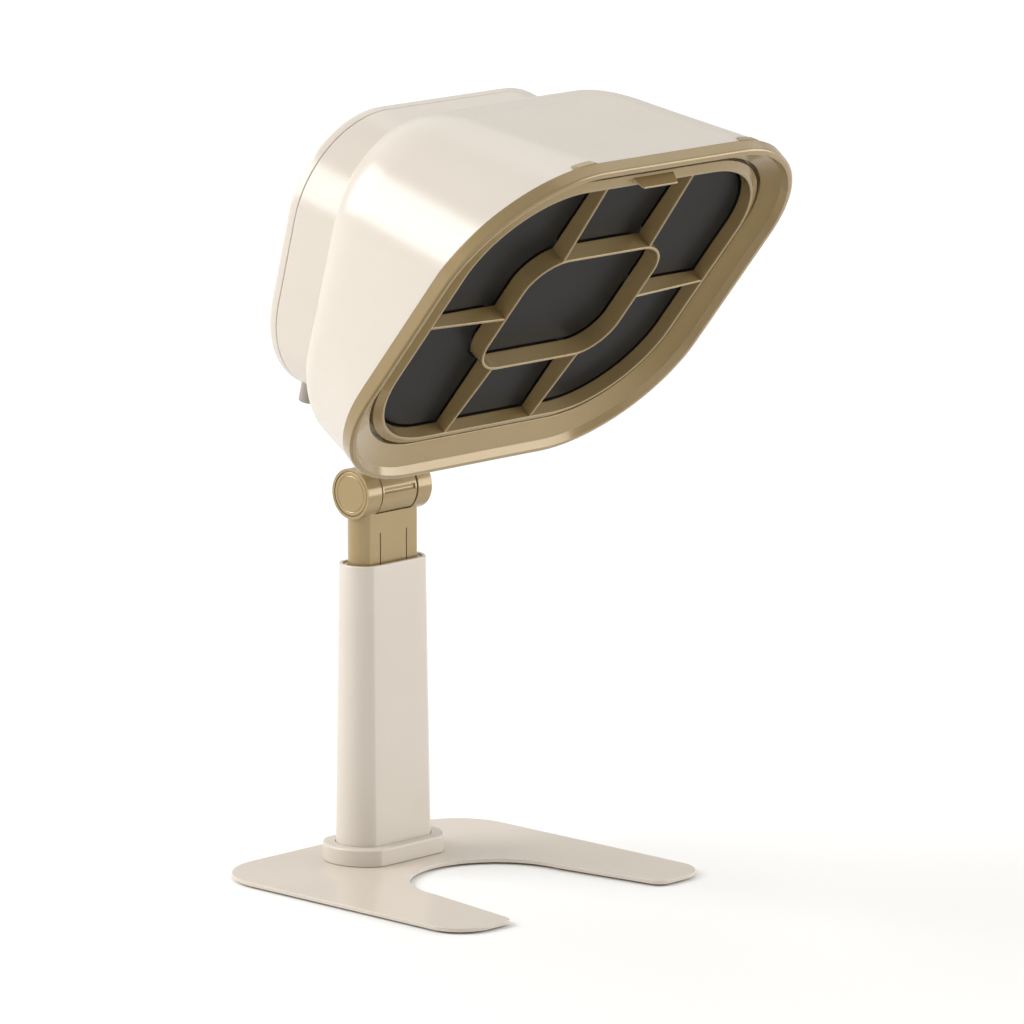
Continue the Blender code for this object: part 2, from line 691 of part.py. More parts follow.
def add_rear_housing(rear_frame, plastic):
    """Fan case: a tube with four screw bosses, holed for the neck's screws and the button."""
    front = REAR_DEPTH - SEAT_GAP
    rings = [at(rear_loop(), HOUSING_BACK), at(rear_loop(), front)]
    rings += [at(rear_loop(SHELL_WALL), front), at(rear_loop(SHELL_WALL), HOUSING_BACK)]
    housing = loft("rear_housing", rings, rear_frame, plastic, capped=False)
    bosses = []
    pilots = []
    boss_front = FAN_FLANGE_BACK - SEAT_GAP
    for x, y in boss_places():
        bosses.append(shifted(rod(BOSS_RADIUS, HOUSING_BACK, boss_front), (x, y, 0)))
        pilots.append(shifted(rod(SCREW_RADIUS + SEAT_GAP, 0, REAR_DEPTH), (x, y, 0)))
    fuse(housing, "screw_bosses", bosses, rear_frame)
    cut(housing, "boss_pilots", pilots, rear_frame)
    holes = []
    for sign in (-1, 1):
        place = Vector((sign * NECK_SCREW_SPREAD, -REAR_HEIGHT / 2, FLANGE_FORWARD))
        holes.append(upright_rod(place, SCREW_RADIUS + SEAT_GAP, SHELL_WALL, 2 * SHELL_WALL))
    place = Vector((-BUTTON_SIDE, underside_level(BUTTON_SIDE, 0), BUTTON_FORWARD))
    holes.append(upright_rod(place, BUTTON_RADIUS + SEAT_GAP, BUTTON_PROUD, BUTTON_PROUD))
    cut(housing, "housing_underside_holes", holes, rear_frame)


def vent_slot(rise):
    """One outlet slot with round ends, as long as the round vent field is there."""
    half = math.sqrt(VENT_FIELD_RADIUS**2 - rise**2) - VENT_HEIGHT / 2
    bend = VENT_HEIGHT / 2
    outline = arc(half, rise, bend, -90, 90, CORNER_STEPS // 2)
    outline += arc(-half, rise, bend, 90, 270, CORNER_STEPS // 2)
    return [at(outline, -SHELL_WALL), at(outline, COVER_DEPTH)]


def add_rear_cover(rear_frame, plastic, steel):
    """Shallow back cover with outlet slots, four screws and the hole for the power socket."""
    soft = COVER_ROUND
    rings = [at(rear_loop(soft), 0)]
    for angle in (30, 60, 90):
        turn = math.radians(angle)
        rings.append(at(rear_loop(soft * (1 - math.sin(turn))), soft * (1 - math.cos(turn))))
    rings += [
        at(rear_loop(), COVER_DEPTH),
        at(rear_loop(SHELL_WALL), COVER_DEPTH),
        at(rear_loop(soft + SHELL_WALL / 2), SHELL_WALL),
    ]
    cover = loft("rear_cover", rings, rear_frame, plastic)
    middle = (VENT_COUNT - 1) / 2
    slots = [vent_slot((i - middle) * VENT_PITCH) for i in range(VENT_COUNT)]
    cut(cover, "outlet_slots", slots, rear_frame)
    bosses = []
    holes = [shifted(rod(SOCKET_RADIUS + SEAT_GAP, -SHELL_WALL, COVER_DEPTH), (0, -SOCKET_DROP, 0))]
    seat = SCREW_HEAD_HEIGHT + SEAT_GAP
    well = [
        (SCREW_HEAD_RADIUS + SEAT_GAP, -SHELL_WALL),
        (SCREW_HEAD_RADIUS + SEAT_GAP, seat),
        (SCREW_RADIUS + SEAT_GAP, seat),
        (SCREW_RADIUS + SEAT_GAP, COVER_DEPTH + SHELL_WALL),
    ]
    for number, (x, y) in enumerate(boss_places(), start=1):
        bosses.append(shifted(rod(BOSS_RADIUS, SHELL_WALL / 2, COVER_DEPTH), (x, y, 0)))
        holes.append(shifted(turned(well), (x, y, 0)))
        add_screw(f"cover_screw_{number}", rear_frame, (x, y, seat - SEAT_GAP), steel, down=True)
    fuse(cover, "cover_bosses", bosses, rear_frame)
    cut(cover, "cover_holes", holes, rear_frame)


def shoulder_loop(inset=0.0):
    """Outline of the hood's shoulder, a little larger than the rear housing and raised."""
    width = REAR_WIDTH + 2 * SHOULDER_SIDE_OUTSET
    height = REAR_HEIGHT + 2 * SHOULDER_HEIGHT_OUTSET
    return rounded_loop(width, height, SHOULDER_RADIUS, inset, SHOULDER_RAISE)


def hood_ring(share, inset, frame):
    """Section of the bulging hood between its shoulder and the mouth, in the frame given."""
    to_rear = frame.inverted() @ REAR_FRAME
    to_mouth = frame.inverted() @ MOUTH_FRAME
    rounding = math.sqrt(1 - (1 - min(1, share / BULGE_SHARE)) ** 2)
    drawn_in = inset - HOOD_BULGE * rounding * (1 - share)
    shoulder = at(shoulder_loop(drawn_in), HOOD_BACK + SHOULDER_DEPTH)
    mouth = at(mouth_loop(HOOD_EDGE_INSET + drawn_in), -BAND_DEPTH - SEAT_GAP)
    return [(to_rear @ near).lerp(to_mouth @ far, share) for near, far in zip(shoulder, mouth)]


def add_front_hood(rear_frame, plastic):
    """Lofted shell with a rounded shoulder and a spigot that seats in the rear housing."""
    fit = SHELL_WALL + SEAT_GAP
    rings = [at(rear_loop(fit), HOOD_BACK), at(rear_loop(-SEAT_GAP), HOOD_BACK)]
    for angle in (30, 60):
        turn = math.radians(angle)
        low = at(rear_loop(), HOOD_BACK)
        high = at(shoulder_loop(), HOOD_BACK)
        rise = Vector((0, 0, SHOULDER_DEPTH * (1 - math.cos(turn))))
        rings.append([near.lerp(far, math.sin(turn)) + rise for near, far in zip(low, high)])
    shares = [(i / HOOD_SECTIONS) ** SECTION_CROWDING for i in range(HOOD_SECTIONS + 1)]
    rings += [hood_ring(share, 0, REAR_FRAME) for share in shares]
    rings += [hood_ring(share, SHELL_WALL, REAR_FRAME) for share in reversed(shares)]
    throat = fit + HOOD_SPIGOT_WALL
    rings += [
        at(rear_loop(SHELL_WALL), HOOD_BACK + SHELL_WALL),
        at(rear_loop(throat), HOOD_BACK + SHELL_WALL),
        at(rear_loop(throat), HOOD_BACK - HOOD_SPIGOT_DEPTH),
        at(rear_loop(fit), HOOD_BACK - HOOD_SPIGOT_DEPTH),
    ]
    loft("front_hood", rings, rear_frame, plastic, capped=False)


def top_point(ring, x):
    """Point on the upper edge of a loop at a distance sideways."""
    for near, far in zip(ring, ring[1:] + ring[:1]):
        if near.y > 0 and far.x != near.x and min(near.x, far.x) <= x <= max(near.x, far.x):
            return near.lerp(far, (x - near.x) / (far.x - near.x))
    return ring[0]


def clip_rings(sign):
    """Clip on the bezel's top edge, following the hood's edge back from the band."""
    bite = HOOD_EDGE_INSET - SEAT_GAP
    edges = [
        (at(mouth_loop(bite), -BAND_DEPTH + BEZEL_WALL), CLIP_WIDTH),
        (at(mouth_loop(bite), -BAND_DEPTH - SEAT_GAP), CLIP_WIDTH),
        (hood_ring(1 - CLIP_SHARE, -SEAT_GAP, MOUTH_FRAME), CLIP_END_WIDTH),
    ]
    rings = []
    for edge, width in edges:
        low = [top_point(edge, sign * CLIP_SPREAD + width * (step / 4 - 0.5)) for step in range(5)]
        high = [point + Vector((0, CLIP_THICKNESS, 0)) for point in reversed(low)]
        rings.append(low + high)
    return rings


def add_bezel(mouth_frame, metal):
    """Band, lip, funnel and ledge round the mouth, with a spigot inside the hood's edge."""
    opening = FUNNEL_WIDTH
    ledge = -GRILLE_BACK - SLIDE_GAP
    raised = GRILLE_RAISE
    bevel = LIP_WIDTH + BEVEL_WIDTH
    fit = SHELL_WALL + SEAT_GAP
    spigot = 1 - BEZEL_SPIGOT_SHARE
    rings = [
        at(mouth_loop(), -BAND_DEPTH),
        at(mouth_loop(), -LIP_ROUND),
        at(mouth_loop(LIP_ROUND * LIP_MIDDLE_SHARE), -LIP_ROUND * LIP_MIDDLE_SHARE),
        at(mouth_loop(LIP_ROUND), 0),
        at(mouth_loop(LIP_WIDTH), 0),
        at(mouth_loop(bevel, raised / 3), -BEVEL_DEPTH),
        at(mouth_loop(opening, raised), -GRILLE_SET_BACK),
        at(mouth_loop(opening, raised), ledge),
        at(mouth_loop(opening + LEDGE_WIDTH, raised), ledge),
        at(mouth_loop(opening + LEDGE_WIDTH, raised), ledge - BEZEL_WALL),
        at(mouth_loop(opening - BEZEL_WALL, raised), ledge - BEZEL_WALL),
        at(mouth_loop(opening - BEZEL_WALL, raised), -GRILLE_SET_BACK - BEZEL_WALL / 2),
        at(mouth_loop(bevel - BEZEL_WALL / 2, raised / 3), -BEVEL_DEPTH - BEZEL_WALL),
        at(mouth_loop(fit + HOOD_EDGE_INSET + BEZEL_WALL), -BEZEL_WALL),
        hood_ring(spigot, fit + BEZEL_WALL, MOUTH_FRAME),
        hood_ring(spigot, fit, MOUTH_FRAME),
        at(mouth_loop(fit + HOOD_EDGE_INSET), -BAND_DEPTH),
    ]
    bezel = loft("mouth_bezel", rings, mouth_frame, metal, capped=False)
    fuse(bezel, "bezel_clips", [clip_rings(-1), clip_rings(1)], mouth_frame)
    floor = grille_bottom() - GRILLE_LEVEL_GAP
    sockets = []
    for sign in (-1, 1):
        half = LUG_WIDTH / 2 + SLIDE_GAP
        low = (sign * LUG_SPREAD - half, floor - 2 * BEZEL_WALL, ledge - 2 * BEZEL_WALL)
        high = (sign * LUG_SPREAD + half, floor + LEDGE_WIDTH + SLIDE_GAP, lug_front() + SLIDE_GAP)
        sockets.append(block(low, high))
    cut(bezel, "lug_sockets", sockets, mouth_frame)


# Filter

def grille_loop(inset=0.0):
    """Outline of the grille's frame."""
    return rounded_loop(GRILLE_WIDTH, GRILLE_HEIGHT, GRILLE_RADIUS, inset, GRILLE_RAISE)


def ring_loop(inset=0.0):
    """Outline of the grille's centre ring."""
    return rounded_loop(RING_WIDTH, RING_HEIGHT, RING_RADIUS, inset, GRILLE_RAISE)


def grille_bottom():
    """Lowest edge of the grille's frame in the mouth's plane."""
    return GRILLE_RAISE - GRILLE_HEIGHT / 2


def lug_front():
    """Front face of the lugs that hook the grille into the bezel."""
    return -GRILLE_BACK + LUG_THICKNESS


def spoke(start, end, across):
    """Spoke between the ring and the frame, its front edge sloping back to the frame."""
    rings = []
    for point, front in ((start, -RING_SET_BACK - SEAT_GAP), (end, -FRAME_RIDGE_SET_BACK - SEAT_GAP)):
        ring = []
        for side, level, thin in (
            (-1, -GRILLE_BACK, 0.0),
            (1, -GRILLE_BACK, 0.0),
            (1, front, BAR_DRAFT),
            (-1, front, BAR_DRAFT),
        ):
            offset = side * (BAR_THICKNESS / 2 - thin)
            ring.append(Vector((point[0] + across[0] * offset, point[1] + across[1] * offset, level)))
        rings.append(ring)
    return rings


def spokes():
    """Two spokes up, two down and one to each side."""
    bite = BAR_THICKNESS / 2
    ring_half = RING_WIDTH / 2 - bite
    ring_rise = RING_HEIGHT / 2 - bite
    frame_half = WINDOW_WIDTH / 2 + bite
    frame_rise = WINDOW_HEIGHT / 2 + bite
    solids = []
    for sign in (-1, 1):
        for x in (-SPOKE_SPREAD, SPOKE_SPREAD):
            start = (x, GRILLE_RAISE + sign * ring_rise)
            end = (x, GRILLE_RAISE + sign * frame_rise)
            solids.append(spoke(start, end, (1, 0)))
        start = (sign * ring_half, GRILLE_RAISE)
        end = (sign * frame_half, GRILLE_RAISE)
        solids.append(spoke(start, end, (0, 1)))
    return solids


def tab_rings():
    """Finger tab that stands out from the top of the grille's frame, narrower towards its tip."""
    root = -GRILLE_SET_BACK - TAB_ROOT_BITE
    side = [(-TAB_WIDTH / 2, root), (-TAB_END_WIDTH / 2, -TAB_SET_BACK)]
    outline = side + [(-x, level) for x, level in reversed(side)]
    top = GRILLE_RAISE + GRILLE_HEIGHT / 2 - TAB_EDGE
    return [[Vector((x, height, level)) for x, level in outline] for height in (top, top - TAB_THICKNESS)]


def add_filter(mouth_frame, metal, charcoal):
    """Grille with a proud centre ring and spokes, and the filter panel in the tray behind it."""
    tray = TRAY_INSET + TRAY_WALL
    tray_back = -GRILLE_BACK - TRAY_DEPTH
    rings = [
        at(grille_loop(), -GRILLE_SET_BACK),
        at(grille_loop(FRAME_WIDTH - RIDGE_WIDTH), -FRAME_RIDGE_SET_BACK),
        at(grille_loop(FRAME_WIDTH), -FRAME_RIDGE_SET_BACK),
        at(grille_loop(FRAME_WIDTH + FRAME_DRAFT), -GRILLE_BACK),
        at(grille_loop(tray), -GRILLE_BACK),
        at(grille_loop(tray), tray_back),
        at(grille_loop(TRAY_INSET), tray_back),
        at(grille_loop(TRAY_INSET), -GRILLE_BACK),
        at(grille_loop(), -GRILLE_BACK),
    ]
    grille = loft("filter_grille", rings, mouth_frame, metal, capped=False)
    ring = [
        at(ring_loop(BAR_DRAFT), -RING_SET_BACK),
        at(ring_loop(), -GRILLE_BACK),
        at(ring_loop(BAR_THICKNESS), -GRILLE_BACK),
        at(ring_loop(BAR_THICKNESS - BAR_DRAFT), -RING_SET_BACK),
    ]
    fuse(grille, "grille_spokes", spokes(), mouth_frame)
    combine(grille, loft("grille_ring", ring, mouth_frame, None, capped=False), "UNION")
    floor = grille_bottom()
    extras = [tab_rings()]
    for sign in (-1, 1):
        low = (sign * LUG_SPREAD - LUG_WIDTH / 2, floor - LUG_REACH, -GRILLE_BACK + SEAT_GAP)
        high = (sign * LUG_SPREAD + LUG_WIDTH / 2, floor + FRAME_WIDTH / 2, lug_front())
        extras.append(block(low, high))
    fuse(grille, "grille_tab_and_lugs", extras, mouth_frame)

    front = -GRILLE_BACK - PANEL_GAP
    outline = grille_loop(tray + SEAT_GAP)
    loft("filter_panel", [at(outline, front), at(outline, front - PANEL_THICKNESS)], mouth_frame, charcoal)


# Fan

def add_fan(rear_frame, fan_frame, plastic, steel):
    """Frame with its bore, struts and flange, the motor's stator, the screws and the impeller."""
    ring_outer = FAN_BORE_RADIUS + FAN_RING_WALL
    rings = [
        at(round_loop(FAN_BORE_RADIUS), FAN_RING_BACK),
        at(round_loop(ring_outer), FAN_RING_BACK),
        at(round_loop(ring_outer), FAN_FLANGE_FRONT),
        at(round_loop(FAN_BORE_RADIUS), FAN_FLANGE_FRONT),
    ]
    fan = loft("fan_frame", rings, rear_frame, plastic, capped=False)
    outline = rear_loop(SHELL_WALL + 2 * SEAT_GAP)
    rings = [at(outline, FAN_FLANGE_BACK), at(outline, FAN_FLANGE_FRONT)]
    flange = loft("fan_flange", rings, rear_frame, None)
    combine(fan, flange, "UNION")
    bore = rod(FAN_BORE_RADIUS, FAN_FLANGE_BACK - SHELL_WALL, FAN_FLANGE_FRONT + SHELL_WALL, ROUND_STEPS)
    pilots = [bore]
    for number, (x, y) in enumerate(boss_places(), start=1):
        hole = rod(SCREW_RADIUS + SEAT_GAP, FAN_FLANGE_BACK - SHELL_WALL, FAN_FLANGE_FRONT + SHELL_WALL)
        pilots.append(shifted(hole, (x, y, 0)))
        add_screw(f"fan_screw_{number}", rear_frame, (x, y, FAN_FLANGE_FRONT + SEAT_GAP), steel)
    cut(fan, "fan_holes", pilots, rear_frame)
    strut_front = FAN_RING_BACK + STRUT_THICKNESS
    centre = rod(STATOR_RADIUS, FAN_RING_BACK, strut_front, ROUND_STEPS)
    fuse(fan, "fan_struts", [centre], rear_frame)
    for number in range(STRUT_COUNT):
        angle = math.radians(45 + number * 360 / STRUT_COUNT)
        bar = block(
            (STATOR_RADIUS / 2, -STRUT_WIDTH / 2, FAN_RING_BACK),
            (FAN_BORE_RADIUS + FAN_RING_WALL / 2, STRUT_WIDTH / 2, strut_front),
        )
        helper = group(f"fan_strut_{number}", [bar], rear_frame)
        helper.rotation_euler = (0, 0, angle)
        combine(fan, helper, "UNION")

    seat = strut_front + SEAT_GAP
    bearing = FAN_SHAFT_RADIUS + SEAT_GAP
    rings = [
        at(round_loop(bearing), seat),
        at(round_loop(STATOR_RADIUS), seat),
        at(round_loop(STATOR_RADIUS), seat + STATOR_LENGTH),
        at(round_loop(bearing), seat + STATOR_LENGTH),
    ]
    loft("fan_stator", rings, rear_frame, steel, capped=False)
    add_impeller(fan_frame, plastic, seat)


def blade_rings(angle):
    """Twisted blade from inside the hub's wall to just short of the bore."""
    middle = (HUB_BACK + HUB_FRONT) / 2
    root = HUB_RADIUS - HUB_WALL / 2
    tip = FAN_BORE_RADIUS - BLADE_TIP_GAP
    spin = Matrix.Rotation(angle, 3, "Z")
    rings = []
    for step in range(4):
        share = step / 3
        radius = root + (tip - root) * share
        pitch = BLADE_ROOT_PITCH + (BLADE_TIP_PITCH - BLADE_ROOT_PITCH) * share
        chord = BLADE_CHORD * (BLADE_ROOT_SHARE + (1 - BLADE_ROOT_SHARE) * share)
        ring = []
        for along, level in ((-0.5, 0), (-0.2, -0.5), (0.2, -0.5), (0.5, 0), (0.2, 0.5), (-0.2, 0.5)):
            y = chord * along * math.cos(pitch) - BLADE_THICKNESS * level * math.sin(pitch)
            z = chord * along * math.sin(pitch) + BLADE_THICKNESS * level * math.cos(pitch)
            ring.append(spin @ Vector((radius, y, middle + z)))
        rings.append(ring)
    return rings


def add_impeller(fan_frame, plastic, seat):
    """Hub cup over the stator, with its shaft and twisted blades."""
    inner = HUB_RADIUS - HUB_WALL
    roof = HUB_FRONT - HUB_WALL
    profile = [
        (FAN_SHAFT_RADIUS, seat + SEAT_GAP),
        (FAN_SHAFT_RADIUS, roof),
        (inner, roof),
        (inner, HUB_BACK),
        (HUB_RADIUS, HUB_BACK),
        (HUB_RADIUS, HUB_FRONT - HUB_WALL),
        (HUB_RADIUS - HUB_WALL / 2, HUB_FRONT),
    ]
    hub = loft("fan_impeller", turned(profile, ROUND_STEPS), fan_frame, plastic)
    blades = [blade_rings(math.tau * number / BLADE_COUNT) for number in range(BLADE_COUNT)]
    fuse(hub, "impeller_blades", blades, fan_frame)


# Controls

def underside_level(side, inset):
    """Level of the housing's rounded underside at a distance sideways, drawn in by an inset."""
    past = side - (REAR_WIDTH / 2 - REAR_RADIUS)
    return REAR_RADIUS - REAR_HEIGHT / 2 - math.sqrt((REAR_RADIUS - inset) ** 2 - past**2)


def add_controls(rear_frame, button_frame, grey, green, black):
    """Push button with a retaining flange, the board above it and the power socket."""
    wall_level = underside_level(BUTTON_SIDE, 0)
    flange_low = underside_level(BUTTON_SIDE + BUTTON_FLANGE_RADIUS, SHELL_WALL) + SEAT_GAP - wall_level
    profile = [
        (BUTTON_RADIUS - BUTTON_ROUND, -BUTTON_PROUD),
        (BUTTON_RADIUS, -BUTTON_PROUD + BUTTON_ROUND),
        (BUTTON_RADIUS, flange_low),
        (BUTTON_FLANGE_RADIUS, flange_low),
        (BUTTON_FLANGE_RADIUS, flange_low + BUTTON_FLANGE_HEIGHT),
    ]
    loft("power_button", turned(profile), button_frame, grey)

    low = wall_level + flange_low + BUTTON_FLANGE_HEIGHT + BUTTON_TRAVEL + SEAT_GAP
    left = -BUTTON_SIDE - BUTTON_FLANGE_RADIUS / 2
    back = BUTTON_FORWARD - BOARD_WIDTH / 2 + SHELL_WALL
    board = block((left, low, back), (left + BOARD_LENGTH, low + BOARD_THICKNESS, back + BOARD_WIDTH))
    loft("control_board", board, rear_frame, green)

    base = SOCKET_RECESS + SOCKET_LENGTH
    profile = [
        (SOCKET_PIN_RADIUS, 2 * SOCKET_RECESS),
        (SOCKET_PIN_RADIUS, base - SOCKET_WALL),
        (SOCKET_BORE_RADIUS, base - SOCKET_WALL),
        (SOCKET_BORE_RADIUS, SOCKET_RECESS),
        (SOCKET_RADIUS, SOCKET_RECESS),
        (SOCKET_RADIUS, base),
    ]
    socket = loft("power_socket", turned(profile), rear_frame, black)
    socket.location = (0, -SOCKET_DROP, 0)


def main():
    """Clear the scene and build every sub-part on its frame."""
    for old in list(bpy.data.objects):
        bpy.data.objects.remove(old, do_unlink=True)

    cream = finish("cream gloss ABS", (0.80, 0.74, 0.65), 0.28)
    cream_paint = finish("cream powder coat", (0.74, 0.68, 0.59), 0.38)
    gold = finish("satin gold lacquer", (0.42, 0.31, 0.14), 0.38, 0.55)
    charcoal = finish("charcoal filter", (0.045, 0.044, 0.042), 0.45)
    black = finish("black nylon", (0.03, 0.03, 0.03), 0.5)
    grey = finish("grey ABS", (0.30, 0.28, 0.26), 0.5)
    steel = finish("zinc-plated steel", (0.55, 0.55, 0.56), 0.35, 1.0)
    rubber = finish("non-slip EVA", (0.03, 0.03, 0.03), 0.9)
    green = finish("circuit board", (0.02, 0.12, 0.05), 0.5)

    stand_frame = empty("stand_frame", Matrix.Identity(4))
    post_frame = empty("post_slide_axis", Matrix.Identity(4))
    hinge_matrix = Matrix.Translation((0, 0, HINGE_HEIGHT))
    hinge_frame = empty("head_tilt_axis", hinge_matrix)
    barrel_frame = empty("hinge_barrel_axis", hinge_matrix @ Matrix.Rotation(math.pi / 2, 4, "Y"))
    rear_frame = empty("rear_housing_frame", REAR_FRAME)
    fan_frame = empty("fan_axis", REAR_FRAME)
    mouth_frame = empty("mouth_frame", MOUTH_FRAME)
    button_matrix = (
        REAR_FRAME
        @ Matrix.Translation((-BUTTON_SIDE, underside_level(BUTTON_SIDE, 0), BUTTON_FORWARD))
        @ Matrix.Rotation(-math.pi / 2, 4, "X")
    )
    button_frame = empty("button_axis", button_matrix)
    bpy.context.view_layer.update()

    add_base(stand_frame, cream_paint, rubber, steel)
    add_column(stand_frame, cream)
    add_post(post_frame, barrel_frame, gold, black)
    add_hinge(barrel_frame, gold, steel)
    add_neck(hinge_frame, barrel_frame, rear_frame, gold, steel)
    add_rear_housing(rear_frame, cream)
    add_rear_cover(rear_frame, cream, steel)
    add_front_hood(rear_frame, cream)
    add_bezel(mouth_frame, gold)
    add_filter(mouth_frame, gold, charcoal)
    add_fan(rear_frame, fan_frame, black, steel)
    add_controls(rear_frame, button_frame, grey, green, black)


main()
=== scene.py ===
"""Finished look of a tabletop extractor hood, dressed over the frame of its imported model.

Metres, +Z up, the mouth facing -Y. Each sub-assembly is a class that builds its fine meshes and dresses them.
"""

import logging
import math
from collections.abc import Sequence
from dataclasses import dataclass, field, replace
from enum import Enum
from typing import ClassVar

import bmesh
import bpy
import numpy as np
from bpy.types import GeometryNodeTree, ID, Material, Node, NodeSocket, NodeTree, Object
from mathutils import Matrix, Vector


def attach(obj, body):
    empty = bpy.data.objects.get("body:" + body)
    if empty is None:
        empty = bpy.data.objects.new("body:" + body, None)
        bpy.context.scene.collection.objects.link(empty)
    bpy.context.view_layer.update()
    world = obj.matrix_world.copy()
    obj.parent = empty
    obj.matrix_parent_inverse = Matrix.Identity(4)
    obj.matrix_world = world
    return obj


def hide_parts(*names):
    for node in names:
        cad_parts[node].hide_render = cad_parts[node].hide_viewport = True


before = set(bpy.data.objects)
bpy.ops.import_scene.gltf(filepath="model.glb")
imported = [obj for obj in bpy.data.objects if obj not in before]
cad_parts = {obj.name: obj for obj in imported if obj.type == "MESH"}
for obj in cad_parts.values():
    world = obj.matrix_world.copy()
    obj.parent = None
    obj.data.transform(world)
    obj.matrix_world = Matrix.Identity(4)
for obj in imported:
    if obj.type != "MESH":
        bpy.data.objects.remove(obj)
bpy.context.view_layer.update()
log = logging.getLogger("extractor_hood")

MM = 0.001
SEAT_GAP = 0.3 * MM
CORNER_STEPS = 30
STRAIGHT_STEPS = 6
OVAL_STEPS = 30
ROUND_STEPS = 96
HOLE_STEPS = 48
BOSS_STEPS = 32
SMALL_STEPS = 24
FILLET_STEPS = 5
FILLET_REACH = 0.49
SMOOTH_ANGLE = math.radians(34.0)
BEVEL_ANGLE = 50.0
NOISE_ROUGHNESS = 0.55
NOISE_SPAN = (0.3, 0.7)
CLOUD_DETAIL = 3.0
GRAIN_DETAIL = 2.0
SEED = 7
SCREW_JITTER = 0.8
FLAT = Matrix.Identity(4)


class Body(Enum):
    """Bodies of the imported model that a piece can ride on."""

    STAND = "stand"
    POST = "post"
    HEAD = "head"
    FILTER = "filter"
    FAN = "fan"
    BUTTON = "button"


class Slot(Enum):
    """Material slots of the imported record."""

    CREAM_ABS = "cream_abs"
    CREAM_COAT = "cream_powder_coat"
    GOLD_METAL = "gold_lacquered_metal"
    GOLD_ABS = "gold_abs"
    CHARCOAL = "charcoal_panel"
    NYLON = "black_nylon"
    GREY_ABS = "grey_abs"
    ZINC = "zinc_steel"
    EVA = "eva_pad"
    BOARD = "circuit_board"


# Finishes

def linear(code: str) -> tuple[float, float, float, float]:
    """Turn an sRGB hex colour into the linear colour that a shader takes.

    Args:
        code: Six hex digits.

    Returns:
        Linear red, green, blue and an alpha of one.
    """
    parts = [int(code[i : i + 2], 16) / 255 for i in (0, 2, 4)]
    red, green, blue = [c / 12.92 if c <= 0.04045 else ((c + 0.055) / 1.055) ** 2.4 for c in parts]
    return red, green, blue, 1.0


def add_node(
    tree: NodeTree, kind: str, inputs: dict[str | int, object] | None = None, **settings: object
) -> Node:
    """Add a node, set its properties, and set or link its inputs.

    Args:
        tree: Tree that gets the node.
        kind: Node type.
        inputs: Values or sockets for the inputs, by name or number.
        **settings: Properties of the node.

    Returns:
        The new node.
    """
    node = tree.nodes.new(kind)
    for name, value in settings.items():
        setattr(node, name, value)
    for key, value in (inputs or {}).items():
        if isinstance(value, NodeSocket):
            tree.links.new(value, node.inputs[key])
        else:
            node.inputs[key].default_value = value
    return node


@dataclass(frozen=True)
class Finish:
    """A surface: its real material, its colour and second tone, and the size of its grain in millimetres."""

    name: str
    colour: str
    tone: str
    roughness: tuple[float, float]
    metallic: float = 0.0
    coat: float = 0.0
    ior: float = 1.5
    mottle: float = 30.0
    grain: float = 0.8
    depth: float = 0.02

    def material(self) -> Material:
        """Make the material the first time.

        Returns:
            The material, named for the finish.
        """
        made = bpy.data.materials.get(self.name)
        if made is None:
            made = bpy.data.materials.new(self.name)
            made.use_nodes = True
            shader = made.node_tree.nodes["Principled BSDF"]
            shader.inputs["Metallic"].default_value = self.metallic
            shader.inputs["IOR"].default_value = self.ior
            shader.inputs["Coat Weight"].default_value = self.coat
            shader.inputs["Coat Roughness"].default_value = self.roughness[0] / 2
            self.draw(made.node_tree, shader)
            made.diffuse_color = linear(self.colour)
        return made

    def lumps(self, place: NodeSocket, size: float, detail: float) -> dict[str, object]:
        """Return the inputs of a noise whose lumps have a size in millimetres, with finer octaves on top."""
        return {"Vector": place, "Scale": 1 / (size * MM), "Detail": detail, "Roughness": NOISE_ROUGHNESS}

    def draw(self, tree: NodeTree, shader: Node) -> None:
        """Draw the colour, the gloss and the relief of the surface.

        Args:
            tree: Tree of the material.
            shader: Its Principled shader.
        """
        place = add_node(tree, "ShaderNodeTexCoord").outputs["Object"]
        sizes = ((self.mottle, CLOUD_DETAIL), (self.grain, GRAIN_DETAIL))
        noises = [add_node(tree, "ShaderNodeTexNoise", self.lumps(place, *size)) for size in sizes]
        cloud, grain = [noise.outputs["Fac"] for noise in noises]
        # Socket 0 of a colour mix is its share, and 6 and 7 are its two colours.
        ends = {0: self.tones(tree, place, cloud), 6: linear(self.colour), 7: linear(self.tone)}
        tint = add_node(tree, "ShaderNodeMix", ends, data_type="RGBA")
        tree.links.new(tint.outputs[2], shader.inputs["Base Color"])
        (least, most), (low, high) = NOISE_SPAN, self.roughness
        span = {"From Min": least, "From Max": most, "To Min": low, "To Max": high}
        gloss = add_node(tree, "ShaderNodeMapRange", {"Value": grain, **span})
        tree.links.new(gloss.outputs["Result"], shader.inputs["Roughness"])
        height = self.relief(tree, place, grain)
        bump = add_node(
            tree, "ShaderNodeBump", {"Strength": 1.0, "Distance": self.depth * MM, "Height": height}
        )
        tree.links.new(bump.outputs["Normal"], shader.inputs["Normal"])

    def tones(self, tree: NodeTree, place: NodeSocket, cloud: NodeSocket) -> NodeSocket:
        """Return the share of the second tone, which is the cloudy pattern itself."""
        return cloud

    def relief(self, tree: NodeTree, place: NodeSocket, grain: NodeSocket) -> NodeSocket:
        """Return the height that the bump reads, which is the grain itself."""
        return grain


